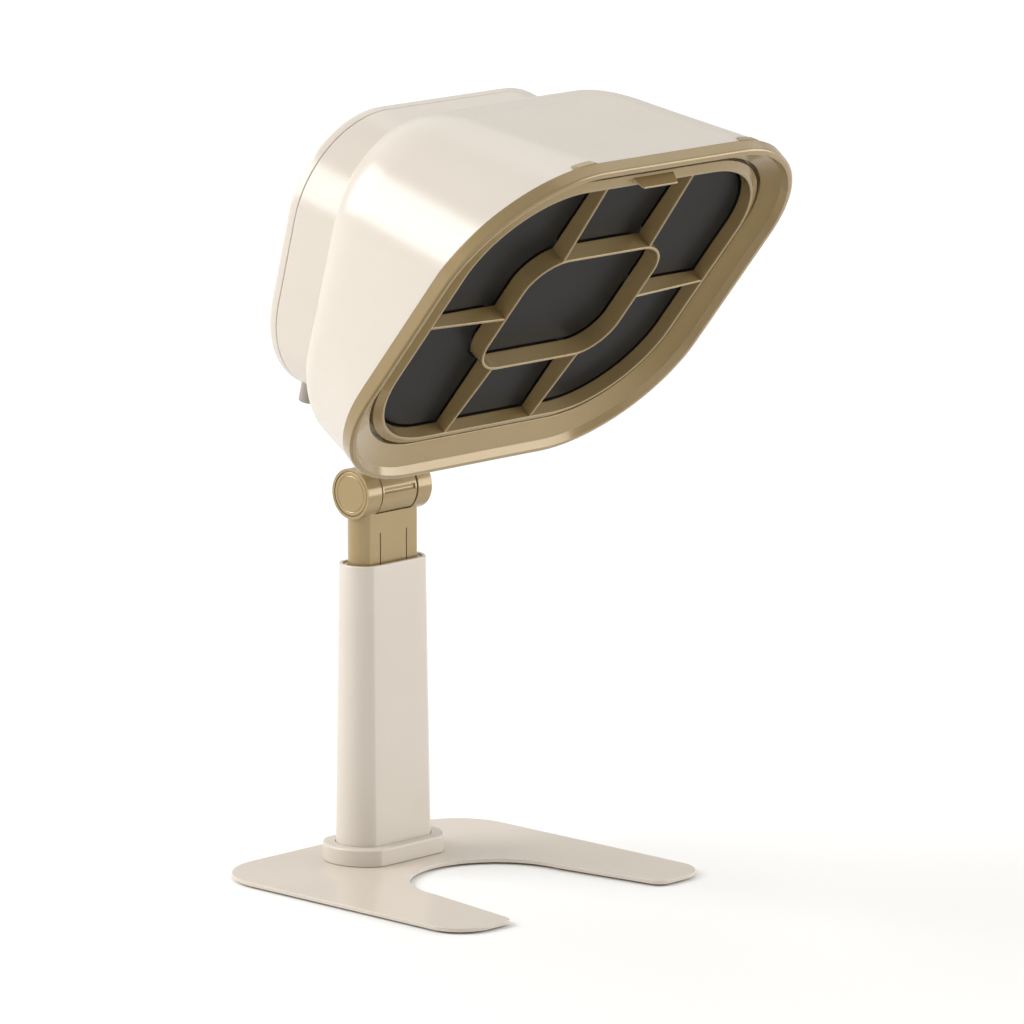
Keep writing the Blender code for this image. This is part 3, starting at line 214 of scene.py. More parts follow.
@dataclass(frozen=True)
class MetallicLacquer(Finish):
    """Lacquer with metal flakes, each a shade of its own."""

    flake: float = 0.9
    flake_share: float = 0.2

    def tones(self, tree: NodeTree, place: NodeSocket, cloud: NodeSocket) -> NodeSocket:
        """Shift the second tone's share from flake to flake.

        Args:
            tree: Tree of the material.
            place: Coordinates of the surface.
            cloud: Slow pattern from nought to one.

        Returns:
            Share of the second tone.
        """
        flakes = add_node(tree, "ShaderNodeTexVoronoi", {"Vector": place, "Scale": 1 / (self.flake * MM)})
        shade = add_node(tree, "ShaderNodeSeparateColor", {"Color": flakes.outputs["Color"]}).outputs["Red"]
        terms = {0: shade, 1: self.flake_share, 2: cloud}
        return add_node(tree, "ShaderNodeMath", terms, operation="MULTIPLY_ADD").outputs[0]


@dataclass(frozen=True)
class FilterFelt(Finish):
    """Needled charcoal felt: short fibres lying both ways under a faint pressed sheen."""

    strand_length: float = 9.6
    strand_ratio: float = 9.0

    def relief(self, tree: NodeTree, place: NodeSocket, grain: NodeSocket) -> NodeSocket:
        """Lay fibres along and across the panel over the grain.

        Args:
            tree: Tree of the material.
            place: Coordinates of the surface.
            grain: Fine pattern from nought to one.

        Returns:
            Height for the bump.
        """
        thin, heights = self.strand_ratio, []
        for stretch in ((1.0, thin, thin), (thin, 1.0, 1.0)):
            turned = add_node(tree, "ShaderNodeMapping", {"Vector": place, "Scale": stretch})
            strands = self.lumps(turned.outputs["Vector"], self.strand_length, GRAIN_DETAIL)
            heights.append(add_node(tree, "ShaderNodeTexNoise", strands).outputs["Fac"])
        both = add_node(tree, "ShaderNodeMath", {0: heights[0], 1: heights[1]}, operation="MAXIMUM")
        return add_node(tree, "ShaderNodeMath", {0: both.outputs[0], 1: grain}, operation="ADD").outputs[0]


# Gloss injection-moulded ABS: soft window highlights, a faint sink-mark waviness and hardly any grain.
CREAM_ABS = Finish(
    "cream gloss moulded ABS", "D4CCC1", "CFC6BA", (0.20, 0.27), ior=1.53, mottle=60, grain=2.5, depth=0.006
)
# Smooth polyester powder coat on sheet steel: glossy, with an orange peel so shallow that it only softens the
# highlights. Its dimples of about 1.2 mm are drawn at 1.6 mm.
CREAM_COAT = Finish(
    "cream powder-coated steel", "D3C9BD", "CDC3B5", (0.15, 0.22), mottle=40, grain=1.6, depth=0.004
)
# Champagne lacquer on die-cast zinc: metal flakes under a clear coat, a soft gold gloss with a paler
# highlight on top. Flakes of 0.1 mm are drawn at 0.9 mm, and they shade the colour only faintly.
GOLD_METAL = MetallicLacquer(
    "champagne gold lacquered zinc",
    "9D875B",
    "A38D62",
    (0.20, 0.25),
    metallic=0.22,
    coat=0.6,
    mottle=25,
    grain=0.9,
    depth=0.0008,
)
# The same lacquer sprayed on moulded ABS, a shade browner.
GOLD_ABS = replace(GOLD_METAL, name="champagne gold sprayed ABS", colour="978157", tone="9D875D")
# Activated charcoal felt behind a pressed face: near black with a low sheen.
CHARCOAL = FilterFelt(
    "pressed charcoal felt", "212121", "242423", (0.29, 0.35), ior=1.20, mottle=18, grain=0.9, depth=0.008
)
# Glass-filled nylon: dull black with a fine sparkle of fibre ends.
NYLON = Finish("black moulded nylon", "1C1C1D", "262627", (0.42, 0.58), mottle=12, grain=0.9)
# Spark-eroded grey ABS: an even matt grain that takes a fingertip.
GREY_ABS = Finish("grey grained ABS", "948B83", "A1988F", (0.40, 0.55), mottle=8, grain=0.6, depth=0.03)
# Zinc plate with a clear passivate: bright, bluish and slightly blotchy.
ZINC = Finish(
    "zinc-plated steel", "B9BCC0", "A3A7AE", (0.22, 0.40), metallic=1.0, mottle=4, grain=0.7, depth=0.006
)
# Closed-cell EVA: matt black with pores of about 0.5 mm, drawn at 0.9 mm so that they show.
EVA = Finish("black EVA foam", "1D1C1B", "2A2927", (0.80, 0.95), mottle=10, grain=0.9, depth=0.08)
# Green solder mask over copper tracks: glossy, with faint lighter patches.
BOARD = Finish("solder-masked laminate", "0F4A2A", "17613A", (0.25, 0.40), mottle=3)
# Seamless pale studio floor.
FLOOR = Finish("pale matt studio floor", "F3F3F2", "F1F1F0", (0.75, 0.90), mottle=900, grain=6, depth=0.01)


# Outlines and lofts

def arc(x: float, y: float, radius: float, start: float, end: float, steps: int) -> np.ndarray:
    """Points of an arc.

    Args:
        x: Centre, sideways.
        y: Centre, upwards.
        radius: Radius of the arc.
        start: First angle in degrees.
        end: Last angle in degrees.
        steps: Number of chords.

    Returns:
        One row for each point.
    """
    turn = np.radians(np.linspace(start, end, steps + 1))
    return np.column_stack((x + radius * np.cos(turn), y + radius * np.sin(turn)))


def joined(arcs: Sequence[np.ndarray]) -> np.ndarray:
    """Close arcs into one loop, with extra points along the straights between them.

    Args:
        arcs: Arcs in order round the loop.

    Returns:
        One row for each point of the loop.
    """
    rows = []
    for near, far in zip(arcs, [*arcs[1:], arcs[0]]):
        share = np.linspace(0, 1, STRAIGHT_STEPS + 1)[1:-1, None]
        rows += [near, near[-1] + (far[0] - near[-1]) * share]
    return np.concatenate(rows)


def circle(radius: float, steps: int = ROUND_STEPS) -> np.ndarray:
    """Points of a full circle about the origin."""
    return arc(0, 0, radius, 0, 360, steps)[:-1]


@dataclass(frozen=True)
class RoundedOutline:
    """Rounded rectangle, drawn in by an inset that its corners follow."""

    width: float
    height: float
    radius: float
    raised: float = 0.0

    def loop(self, inset: float = 0.0, raised: float | None = None) -> np.ndarray:
        """Draw the outline.

        Args:
            inset: Distance inwards from the outline.
            raised: Height of its centre, where it differs from the outline's own.

        Returns:
            One row for each point.
        """
        lift = self.raised if raised is None else raised
        side = self.width / 2 - self.radius
        rise = self.height / 2 - self.radius
        corners = ((1, 1, 0), (-1, 1, 90), (-1, -1, 180), (1, -1, 270))
        bend = self.radius - inset
        return joined([arc(x * side, y * rise + lift, bend, a, a + 90, CORNER_STEPS) for x, y, a in corners])


@dataclass(frozen=True)
class OvalOutline:
    """Oval with flat long sides, whose full ends meet the flats at a soft edge."""

    length: float
    depth: float
    fullness: float = 1.10

    def loop(self, outset: float = 0.0) -> np.ndarray:
        """Draw the oval.

        Args:
            outset: Distance outwards from the oval.

        Returns:
            One row for each point.
        """
        depth = self.depth + 2 * outset
        radius = self.fullness * depth / 2
        centre = self.length / 2 + outset - radius
        sweep = math.degrees(math.asin(depth / 2 / radius))
        right = arc(centre, 0, radius, -sweep, sweep, OVAL_STEPS)
        left = arc(-centre, 0, radius, 180 - sweep, 180 + sweep, OVAL_STEPS)
        return joined([right, left])


REAR = RoundedOutline(0.208, 0.164, 0.057)
SHOULDER = RoundedOutline(0.216, 0.1762, 0.0525, 0.0027)
MOUTH = RoundedOutline(0.259, 0.239, 0.0765)
GRILLE = RoundedOutline(0.2236, 0.2027, 0.062, 0.0018)
RING = RoundedOutline(0.1046, 0.0867, 0.0233, 0.0018)
HINGE = Vector((0, 0, 0.212))


def leaning_plane(forward: float, rise: float, lean: float) -> Matrix:
    """Frame whose Z axis points forward and down.

    Args:
        forward: Distance of its origin in front of the column's axis.
        rise: Height of its origin.
        lean: Lean below the horizon in degrees.

    Returns:
        The frame's matrix.
    """
    return Matrix.Translation((0, -forward, rise)) @ Matrix.Rotation(math.radians(90 + lean), 4, "X")


REAR_PLANE = leaning_plane(0.0245, 0.3573, 15.0)
MOUTH_PLANE = leaning_plane(0.1463, 0.3265, 39.5)
BARREL_FRAME = Matrix.Translation(HINGE) @ Matrix.Rotation(math.pi / 2, 4, "Y")


def flat(loop: np.ndarray, level: float) -> np.ndarray:
    """Place a flat loop at a level along Z."""
    return np.column_stack((loop, np.full(len(loop), level)))


def moved(points: np.ndarray, matrix: Matrix) -> np.ndarray:
    """Carry points through a matrix."""
    turn = np.array(matrix)
    return points @ turn[:3, :3].T + turn[:3, 3]


def filleted(profile: Sequence[tuple[float, ...]]) -> np.ndarray:
    """Round the corners of a profile.

    Args:
        profile: Points whose last number is the radius of the corner there; the first two give its place.

    Returns:
        One row for each point, without the radius.
    """
    rows = [np.array(point, float) for point in profile]
    out = [rows[0][:-1]]
    for before, here, after in zip(rows, rows[1:], rows[2:]):
        back, ahead = before[:-1] - here[:-1], after[:-1] - here[:-1]
        near, far = np.linalg.norm(back[:2]), np.linalg.norm(ahead[:2])
        bend = math.acos(max(-1.0, min(1.0, float(back[:2] @ ahead[:2]) / (near * far))))
        room = FILLET_REACH * min(near, far)
        reach = min(here[-1] / math.tan(bend / 2), room) if here[-1] else 0.0
        if not reach:
            out.append(here[:-1])
            continue
        start, end = here[:-1] + back * reach / near, here[:-1] + ahead * reach / far
        for share in np.linspace(0, 1, FILLET_STEPS + 1):
            out.append((1 - share) ** 2 * start + 2 * share * (1 - share) * here[:-1] + share**2 * end)
    return np.array([*out, rows[-1][:-1]])


@dataclass
class Form:
    """Points and faces gathered before they become a mesh."""

    rows: list[np.ndarray] = field(default_factory=list)
    faces: list[tuple[int, ...]] = field(default_factory=list)
    count: int = 0

    def loft(self, rings: Sequence[np.ndarray], capped: bool = True) -> "Form":
        """Skin over rings of equal length.

        Args:
            rings: Loops in order.
            capped: Cap both ends, or join the last ring to the first.

        Returns:
            This form.
        """
        size = len(rings[0])
        starts = [self.count + number * size for number in range(len(rings))]
        pairs = list(zip(starts, starts[1:]))
        if capped:
            self.faces += [tuple(range(starts[0] + size - 1, starts[0] - 1, -1))]
            self.faces += [tuple(range(starts[-1], starts[-1] + size))]
        else:
            pairs.append((starts[-1], starts[0]))
        for near, far in pairs:
            for here in range(size):
                after = (here + 1) % size
                self.faces.append((near + here, near + after, far + after, far + here))
        self.rows += list(rings)
        self.count += size * len(rings)
        return self

    def block(
        self, x: Sequence[float], y: Sequence[float], z: Sequence[float], matrix: Matrix = FLAT
    ) -> "Form":
        """Add a box between two distances along each axis of a frame.

        Args:
            x: Left and right.
            y: Near and far.
            z: Bottom and top.
            matrix: The frame.

        Returns:
            This form.
        """
        (left, right), (near, far) = sorted(x), sorted(y)
        loop = np.array([(left, near), (right, near), (right, far), (left, far)])
        return self.loft([moved(flat(loop, level), matrix) for level in sorted(z)])

    def turned(
        self, profile: Sequence[Sequence[float]], matrix: Matrix = FLAT, steps: int = ROUND_STEPS
    ) -> "Form":
        """Turn a profile of radius and level about the Z axis of a frame."""
        return self.loft([moved(flat(circle(radius, steps), level), matrix) for radius, level in profile])

    def rod(
        self, radius: float, levels: Sequence[float], matrix: Matrix = FLAT, steps: int = ROUND_STEPS
    ) -> "Form":
        """Add a round rod between two levels along the Z axis of a frame."""
        return self.turned([(radius, level) for level in levels], matrix, steps)

    def piece(self, name: str) -> Object:
        """Make the object, with its faces outwards.

        Args:
            name: Name of the object and its mesh.

        Returns:
            The object.
        """
        mesh = bpy.data.meshes.new(name)
        mesh.from_pydata(np.concatenate(self.rows).tolist(), [], self.faces)
        body = bmesh.new()
        body.from_mesh(mesh)
        bmesh.ops.recalc_face_normals(body, faces=body.faces)
        body.to_mesh(mesh)
        body.free()
        return linked(name, mesh)


def linked(name: str, data: ID) -> Object:
    """Make an object and put it in the scene.

    Args:
        name: Name of the object.
        data: Its mesh, light or camera.

    Returns:
        The object.
    """
    made = bpy.data.objects.new(name, data)
    bpy.context.scene.collection.objects.link(made)
    return made


def settle(piece: Object) -> Object:
    """Turn a piece's modifiers into a plain mesh.

    Args:
        piece: Object with modifiers.

    Returns:
        The same object, without modifiers.
    """
    bpy.context.view_layer.update()
    old = piece.data
    new = bpy.data.meshes.new_from_object(piece.evaluated_get(bpy.context.evaluated_depsgraph_get()))
    new.name = piece.name
    piece.modifiers.clear()
    piece.data = new
    bpy.data.meshes.remove(old)
    return piece


class Meeting(Enum):
    """How a helper form meets a piece."""

    CUT = "DIFFERENCE"
    JOIN = "UNION"


def meet(piece: Object, form: Form, how: Meeting) -> Object:
    """Cut a form out of a piece or join it on.

    Args:
        piece: Piece that changes.
        form: Form that cuts or joins.
        how: Cut or join.

    Returns:
        The same piece as a plain mesh.
    """
    helper = form.piece("helper")
    step = piece.modifiers.new("meet", "BOOLEAN")
    step.operation = how.value
    step.solver = "EXACT"
    step.object = helper
    settle(piece)
    bpy.data.objects.remove(helper)
    return piece


def soften(piece: Object, width: float, angle: float = 40.0, segments: int = 3) -> Object:
    """Round a piece's sharp edges with a small bevel.

    Args:
        piece: Piece with sharp edges.
        width: Width of the round.
        angle: Edges sharper than this many degrees are rounded.
        segments: Faces across the round.

    Returns:
        The same piece as a plain mesh.
    """
    bevel = piece.modifiers.new("edge round", "BEVEL")
    bevel.width = width
    bevel.segments = segments
    bevel.limit_method = "ANGLE"
    bevel.angle_limit = math.radians(angle)
    bevel.use_clamp_overlap = True
    return settle(piece)


def gather(first: Object, *others: Object) -> None:
    """Add the meshes of other pieces to a first one.

    Args:
        first: Piece that takes them in.
        *others: Pieces that are removed afterwards.
    """
    body = bmesh.new()
    for part in (first, *others):
        body.from_mesh(part.data)
    body.to_mesh(first.data)
    body.free()
    for part in others:
        bpy.data.objects.remove(part)


# Repeats, made with geometry nodes

def start_tree(name: str, inputs: dict[str, str], output: str) -> GeometryNodeTree:
    """Start a geometry node tree with named inputs and one output.

    Args:
        name: Name of the tree.
        inputs: Kind of each input, by its name.
        output: Name of the shape that comes out.

    Returns:
        The tree, still without nodes.
    """
    tree = bpy.data.node_groups.new(name, "GeometryNodeTree")
    for label, kind in inputs.items():
        tree.interface.new_socket(label, in_out="INPUT", socket_type=f"NodeSocket{kind}")
    tree.interface.new_socket(output, in_out="OUTPUT", socket_type="NodeSocketGeometry")
    return tree


def end_tree(tree: GeometryNodeTree, shape: NodeSocket, finish: NodeSocket) -> None:
    """Make the copies real, paint them and send them out.

    Args:
        tree: Tree to end.
        shape: Shape with copies in it.
        finish: Material that they get.
    """
    real = add_node(tree, "GeometryNodeRealizeInstances", {0: shape}).outputs[0]
    painted = add_node(tree, "GeometryNodeSetMaterial", {"Geometry": real, "Material": finish})
    add_node(tree, "NodeGroupOutput", {0: painted.outputs[0]})


def run_tree(piece: Object, tree: GeometryNodeTree, values: dict[str, object]) -> Object:
    """Run a tree on a piece, its inputs set by their identifiers.

    Args:
        piece: Piece that goes in.
        tree: Tree to run.
        values: Value of each input, by its name.

    Returns:
        The same piece as a plain mesh.
    """
    step = piece.modifiers.new(tree.name, "NODES")
    step.node_group = tree
    for item in tree.interface.items_tree:
        if item.in_out == "INPUT" and item.name in values:
            step[item.identifier] = values[item.name]
    return settle(piece)


@dataclass
class Repeater:
    """Geometry node tree that sets copies of a pattern on places, each turned, stretched and jittered."""

    name: str = "copies on places"
    tree: GeometryNodeTree | None = None

    def build(self) -> GeometryNodeTree:
        """Build the tree the first time.

        Returns:
            The tree, with inputs for the pattern, the jitter, the seed and the material.
        """
        if self.tree is not None:
            return self.tree
        inputs = {
            "Places": "Geometry",
            "Pattern": "Object",
            "Jitter": "Float",
            "Seed": "Int",
            "Finish": "Material",
        }
        tree = start_tree(self.name, inputs, "Copies")
        given = add_node(tree, "NodeGroupInput").outputs
        pattern = add_node(tree, "GeometryNodeObjectInfo", {"Object": given["Pattern"]})
        points = add_node(tree, "GeometryNodeMeshToPoints", {"Mesh": given["Places"]})
        turn = add_node(tree, "GeometryNodeInputNamedAttribute", {"Name": "turn"}, data_type="FLOAT")
        stretch = add_node(tree, "GeometryNodeInputNamedAttribute", {"Name": "stretch"}, data_type="FLOAT")
        least = add_node(tree, "ShaderNodeMath", {0: given["Jitter"], 1: -1.0}, operation="MULTIPLY")
        # Sockets 2 and 3 of a random number are its limits.
        limits = {2: least.outputs[0], 3: given["Jitter"], "Seed": given["Seed"]}
        stray = add_node(tree, "FunctionNodeRandomValue", limits, data_type="FLOAT")
        angle = add_node(tree, "ShaderNodeMath", {0: turn.outputs[0], 1: stray.outputs[1]}, operation="ADD")
        axis = add_node(tree, "ShaderNodeCombineXYZ", {"Z": angle.outputs[0]})
        rotation = add_node(tree, "FunctionNodeEulerToRotation", {0: axis.outputs[0]})
        scale = add_node(tree, "ShaderNodeCombineXYZ", {"X": stretch.outputs[0], "Y": 1.0, "Z": 1.0})
        copies = add_node(
            tree,
            "GeometryNodeInstanceOnPoints",
            {
                "Points": points.outputs[0],
                "Instance": pattern.outputs["Geometry"],
                "Rotation": rotation.outputs[0],
                "Scale": scale.outputs[0],
            },
        )
        end_tree(tree, copies.outputs[0], given["Finish"])
        self.tree = tree
        return tree

    def spread(
        self,
        name: str,
        pattern: Object,
        places: Sequence[tuple[float, float, float]],
        finish: Finish,
        turns: Sequence[float] | None = None,
        stretches: Sequence[float] | None = None,
        jitter: float = 0.0,
    ) -> Object:
        """Set copies of a pattern on places and make them one plain mesh.

        Args:
            name: Name of the new piece.
            pattern: Object to copy, which is removed afterwards.
            places: Where each copy goes.
            finish: Finish of the copies.
            turns: Turn of each copy about Z, in radians.
            stretches: Stretch of each copy along X.
            jitter: Most that a copy strays from its turn, in radians.

        Returns:
            The piece, with a plain mesh and no modifier.
        """
        mesh = bpy.data.meshes.new(name)
        mesh.from_pydata(list(places), [], [])
        rows = {"turn": turns or [0.0] * len(places), "stretch": stretches or [1.0] * len(places)}
        for label, numbers in rows.items():
            mesh.attributes.new(label, "FLOAT", "POINT").data.foreach_set("value", list(numbers))
        values = {"Pattern": pattern, "Jitter": jitter, "Seed": SEED, "Finish": finish.material()}
        made = run_tree(linked(name, mesh), self.build(), values)
        bpy.data.objects.remove(pattern)
        return made


@dataclass
class SlotField:
    """Geometry node tree that cuts outlet slots, each as long as the round field is at its height."""

    count: int = 9
    field_radius: float = 0.062
    height: float = 0.0055
    depth: float = 0.030

    def build(self) -> GeometryNodeTree:
        """Build the tree: a bar and two round ends for each slot, cut out of the given shape.

        Returns:
            The tree, with inputs for the shape, the field's sizes and the material.
        """
        inputs = {
            "Shape": "Geometry",
            "Count": "Int",
            "Field Radius": "Float",
            "Slot Height": "Float",
            "Cut Depth": "Float",
            "Finish": "Material",
        }
        tree = start_tree("outlet slots", inputs, "Cut Shape")
        given = add_node(tree, "NodeGroupInput").outputs
        radius, height, deep = given["Field Radius"], given["Slot Height"], given["Cut Depth"]
        # The slots' middles, spaced evenly up the field with a full pitch left at both ends.
        more = add_node(tree, "ShaderNodeMath", {0: given["Count"], 1: 1.0}, operation="ADD").outputs[0]
        width = add_node(tree, "ShaderNodeMath", {0: radius, 1: 2.0}, operation="MULTIPLY").outputs[0]
        pitch = add_node(tree, "ShaderNodeMath", {0: width, 1: more}, operation="DIVIDE").outputs[0]
        first = add_node(tree, "ShaderNodeMath", {0: pitch, 1: radius}, operation="SUBTRACT").outputs[0]
        start = add_node(tree, "ShaderNodeCombineXYZ", {"Y": first}).outputs[0]
        step = add_node(tree, "ShaderNodeCombineXYZ", {"Y": pitch}).outputs[0]
        spacing = {"Count": given["Count"], "Start Location": start, "Offset": step}
        line = add_node(tree, "GeometryNodeMeshLine", spacing, mode="OFFSET").outputs[0]
        # Half the length of each bar: half the field's chord there, less the round end.
        spot = add_node(tree, "GeometryNodeInputPosition").outputs[0]
        rise = add_node(tree, "ShaderNodeSeparateXYZ", {0: spot}).outputs["Y"]
        square = add_node(tree, "ShaderNodeMath", {0: rise, 1: rise}, operation="MULTIPLY").outputs[0]
        whole = add_node(tree, "ShaderNodeMath", {0: radius, 1: radius}, operation="MULTIPLY").outputs[0]
        left = add_node(tree, "ShaderNodeMath", {0: whole, 1: square}, operation="SUBTRACT").outputs[0]
        chord = add_node(tree, "ShaderNodeMath", {0: left}, operation="SQRT").outputs[0]
        less = {0: height, 1: -0.5, 2: chord}
        half = add_node(tree, "ShaderNodeMath", less, operation="MULTIPLY_ADD").outputs[0]
        # A bar two metres long, which each slot scales by its half length.
        full = add_node(tree, "ShaderNodeCombineXYZ", {"X": 2.0, "Y": height, "Z": deep}).outputs[0]
        bar = add_node(tree, "GeometryNodeMeshCube", {"Size": full}).outputs[0]
        bend = add_node(tree, "ShaderNodeMath", {0: height, 1: 0.5}, operation="MULTIPLY").outputs[0]
        sizes = {"Vertices": BOSS_STEPS, "Radius": bend, "Depth": deep}
        end = add_node(tree, "GeometryNodeMeshCylinder", sizes).outputs[0]
        long = add_node(tree, "ShaderNodeCombineXYZ", {"X": half, "Y": 1.0, "Z": 1.0}).outputs[0]
        copies = [{"Points": line, "Instance": bar, "Scale": long}]
        for side in (-1.0, 1.0):
            reach = add_node(tree, "ShaderNodeMath", {0: half, 1: side}, operation="MULTIPLY").outputs[0]
            shift = add_node(tree, "ShaderNodeCombineXYZ", {"X": reach}).outputs[0]
            tips = add_node(tree, "GeometryNodeSetPosition", {"Geometry": line, "Offset": shift}).outputs[0]
            copies.append({"Points": tips, "Instance": end})
        shape = given["Shape"]
        for copy in copies:
            cutters = add_node(tree, "GeometryNodeInstanceOnPoints", copy).outputs[0]
            solid = add_node(tree, "GeometryNodeRealizeInstances", {0: cutters}).outputs[0]
            pair = {"Mesh 1": shape, "Mesh 2": solid}
            cut = add_node(tree, "GeometryNodeMeshBoolean", pair, operation="DIFFERENCE", solver="EXACT")
            shape = cut.outputs[0]
        end_tree(tree, shape, given["Finish"])
        return tree

    def cut(self, piece: Object, finish: Finish) -> None:
        """Cut the slots in a piece that lies flat about the origin.

        Args:
            piece: Piece to cut.
            finish: Its finish.
        """
        values = {
            "Count": self.count,
            "Field Radius": self.field_radius,
            "Slot Height": self.height,
            "Cut Depth": self.depth,
            "Finish": finish.material(),
        }
        run_tree(piece, self.build(), values)


@dataclass
class PanHeadScrew:
    """Pan-head screw with a cross recess, its head's seat at the origin and its head along Z."""

    shank_radius: float = 0.0016
    shank_length: float = 0.010
    tip_share: float = 0.6
    taper_share: float = 0.9
    head_radius: float = 0.0032
    head_height: float = 0.0018
    head_round: float = 0.0012
    seat_round: float = 0.0001
    pole: float = 0.0004
    recess_length: float = 0.0036
    recess_width: float = 0.0008
    recess_depth: float = 0.0011
    recess_taper: float = 0.55
    recess_over: float = 1.2

    def pattern(self) -> Object:
        """Build one screw.

        Returns:
            The screw, for a repeater to copy.
        """
        head = filleted(
            [
                (self.shank_radius, 0, 0),
                (self.head_radius, 0, self.seat_round),
                (self.head_radius, self.head_height, self.head_round),
                (self.pole, self.head_height, 0),
            ]
        )
        tip = (self.shank_radius * self.tip_share, -self.shank_length)
        taper = (self.shank_radius, -self.shank_length * self.taper_share)
        screw = Form().turned([tip, taper, *head], steps=SMALL_STEPS).piece("screw")
        arm, half = self.recess_length / 2, self.recess_width / 2
        floor, roof = self.head_height - self.recess_depth, self.head_height * self.recess_over
        for x, y in ((arm, half), (half, arm)):
            loop = np.array([(-x, -y), (x, -y), (x, y), (-x, y)])
            meet(screw, Form().loft([flat(loop * self.recess_taper, floor), flat(loop, roof)]), Meeting.CUT)
        return screw


SCREW = PanHeadScrew()


# Sub-assemblies

@dataclass
class SubAssembly:
    """Shared steps that make a mesh into a piece of the object."""

    repeater: ClassVar[Repeater] = Repeater()

    def dress(self) -> None:
        """Build the meshes and dress them."""
        raise NotImplementedError

    def show(self, piece: Object, body: Body, slot: Slot, finish: Finish, nodes: Sequence[str]) -> None:
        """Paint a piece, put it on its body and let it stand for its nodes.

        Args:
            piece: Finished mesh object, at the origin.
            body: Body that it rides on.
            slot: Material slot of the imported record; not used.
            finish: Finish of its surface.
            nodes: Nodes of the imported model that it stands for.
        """
        piece.data.materials.clear()
        piece.data.materials.append(finish.material())
        piece.data.shade_smooth()
        piece.data.set_sharp_from_angle(angle=SMOOTH_ANGLE)
        even = piece.modifiers.new("even shading", "WEIGHTED_NORMAL")
        even.keep_sharp = True
        settle(piece)
        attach(piece, body.value)
        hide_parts(*nodes)
        faces = len(piece.data.polygons)
        log.info("%s rides on %s in %s: %d faces", piece.name, body.value, finish.name, faces)

    def show_screws(
        self, name: str, places: Sequence[tuple[float, float, float]], matrix: Matrix, nodes: Sequence[str]
    ) -> None:
        """Set screws whose heads point along Z, carry them into place and show them as one piece.

        Args:
            name: Name of the piece.
            places: Seat of each screw's head.
            matrix: Matrix that carries them into place.
            nodes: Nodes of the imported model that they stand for.
        """
        screws = self.repeater.spread(name, SCREW.pattern(), places, ZINC, jitter=SCREW_JITTER)
        screws.data.transform(matrix)
        if matrix.is_negative:
            screws.data.flip_normals()
        self.show(screws, Body.HEAD, Slot.ZINC, ZINC, nodes)

    def dress_nodes(self, finish: Finish, *names: str) -> None:
        """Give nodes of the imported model, which keep their shape, a finish.

        Args:
            finish: Finish of their surface.
            *names: Names of the nodes.
        """
        for name in names:
            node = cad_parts[name]
            if not node.material_slots:
                node.data.materials.append(finish.material())
            for place in node.material_slots:
                place.material = finish.material()
            log.info("%s keeps its solid, in %s", name, finish.name)


@dataclass
class Base(SubAssembly):
    """U-shaped plate with rolled edges, its pad and its countersunk screws."""

    width: float = 0.200
    back: float = 0.0403
    reach: float = 0.1580
    bottom: float = 0.0011
    thickness: float = 0.0022
    back_radius: float = 0.036
    prong_outer: float = 0.022
    prong_inner: float = 0.008
    notch_back: float = 0.040
    notch_radius: float = 0.048
    notch_tip: float = 0.0575
    edge_round: float = 0.0008

    def outline(self, inset: float) -> np.ndarray:
        """Draw the plate seen from above.

        Args:
            inset: Distance inwards from its edge.

        Returns:
            One row for each point.
        """
        half, front = self.width / 2 - inset, inset - self.reach
        bend, outer, inner = self.back_radius - inset, self.prong_outer - inset, self.prong_inner - inset
        tip = self.notch_tip + inset
        left = [
            arc(-half + bend, self.back - inset - bend, bend, 90, 180, CORNER_STEPS),
            arc(-half + outer, front + outer, outer, 180, 270, CORNER_STEPS),
            arc(-tip - inner, front + inner, inner, 270, 360, CORNER_STEPS // 2),
            arc(0, -self.notch_back - self.notch_radius, self.notch_radius + inset, 180, 90, CORNER_STEPS),
        ]
        right = [points[::-1] * (-1, 1) for points in reversed(left)]
        right[0] = right[0][1:]
        return joined([*left, *right])

    def build(self) -> Object:
        """Build the plate with rolled top and bottom edges.

        Returns:
            The plate's object.
        """
        soft, top = self.edge_round, self.bottom + self.thickness
        profile = filleted(
            [(soft, self.bottom, 0), (0, self.bottom, soft), (0, top, soft), (soft, top, 0)]
        )
        rings = [flat(self.outline(inset), level) for inset, level in profile]
        return Form().loft(rings).piece("base_plate_coated")

    def dress(self) -> None:
        """Coat the plate and dress the pad and screws below it."""
        self.show(self.build(), Body.STAND, Slot.CREAM_COAT, CREAM_COAT, ["base_plate"])
        self.dress_nodes(EVA, "base_pad")
        self.dress_nodes(ZINC, "base_screw_left", "base_screw_right")


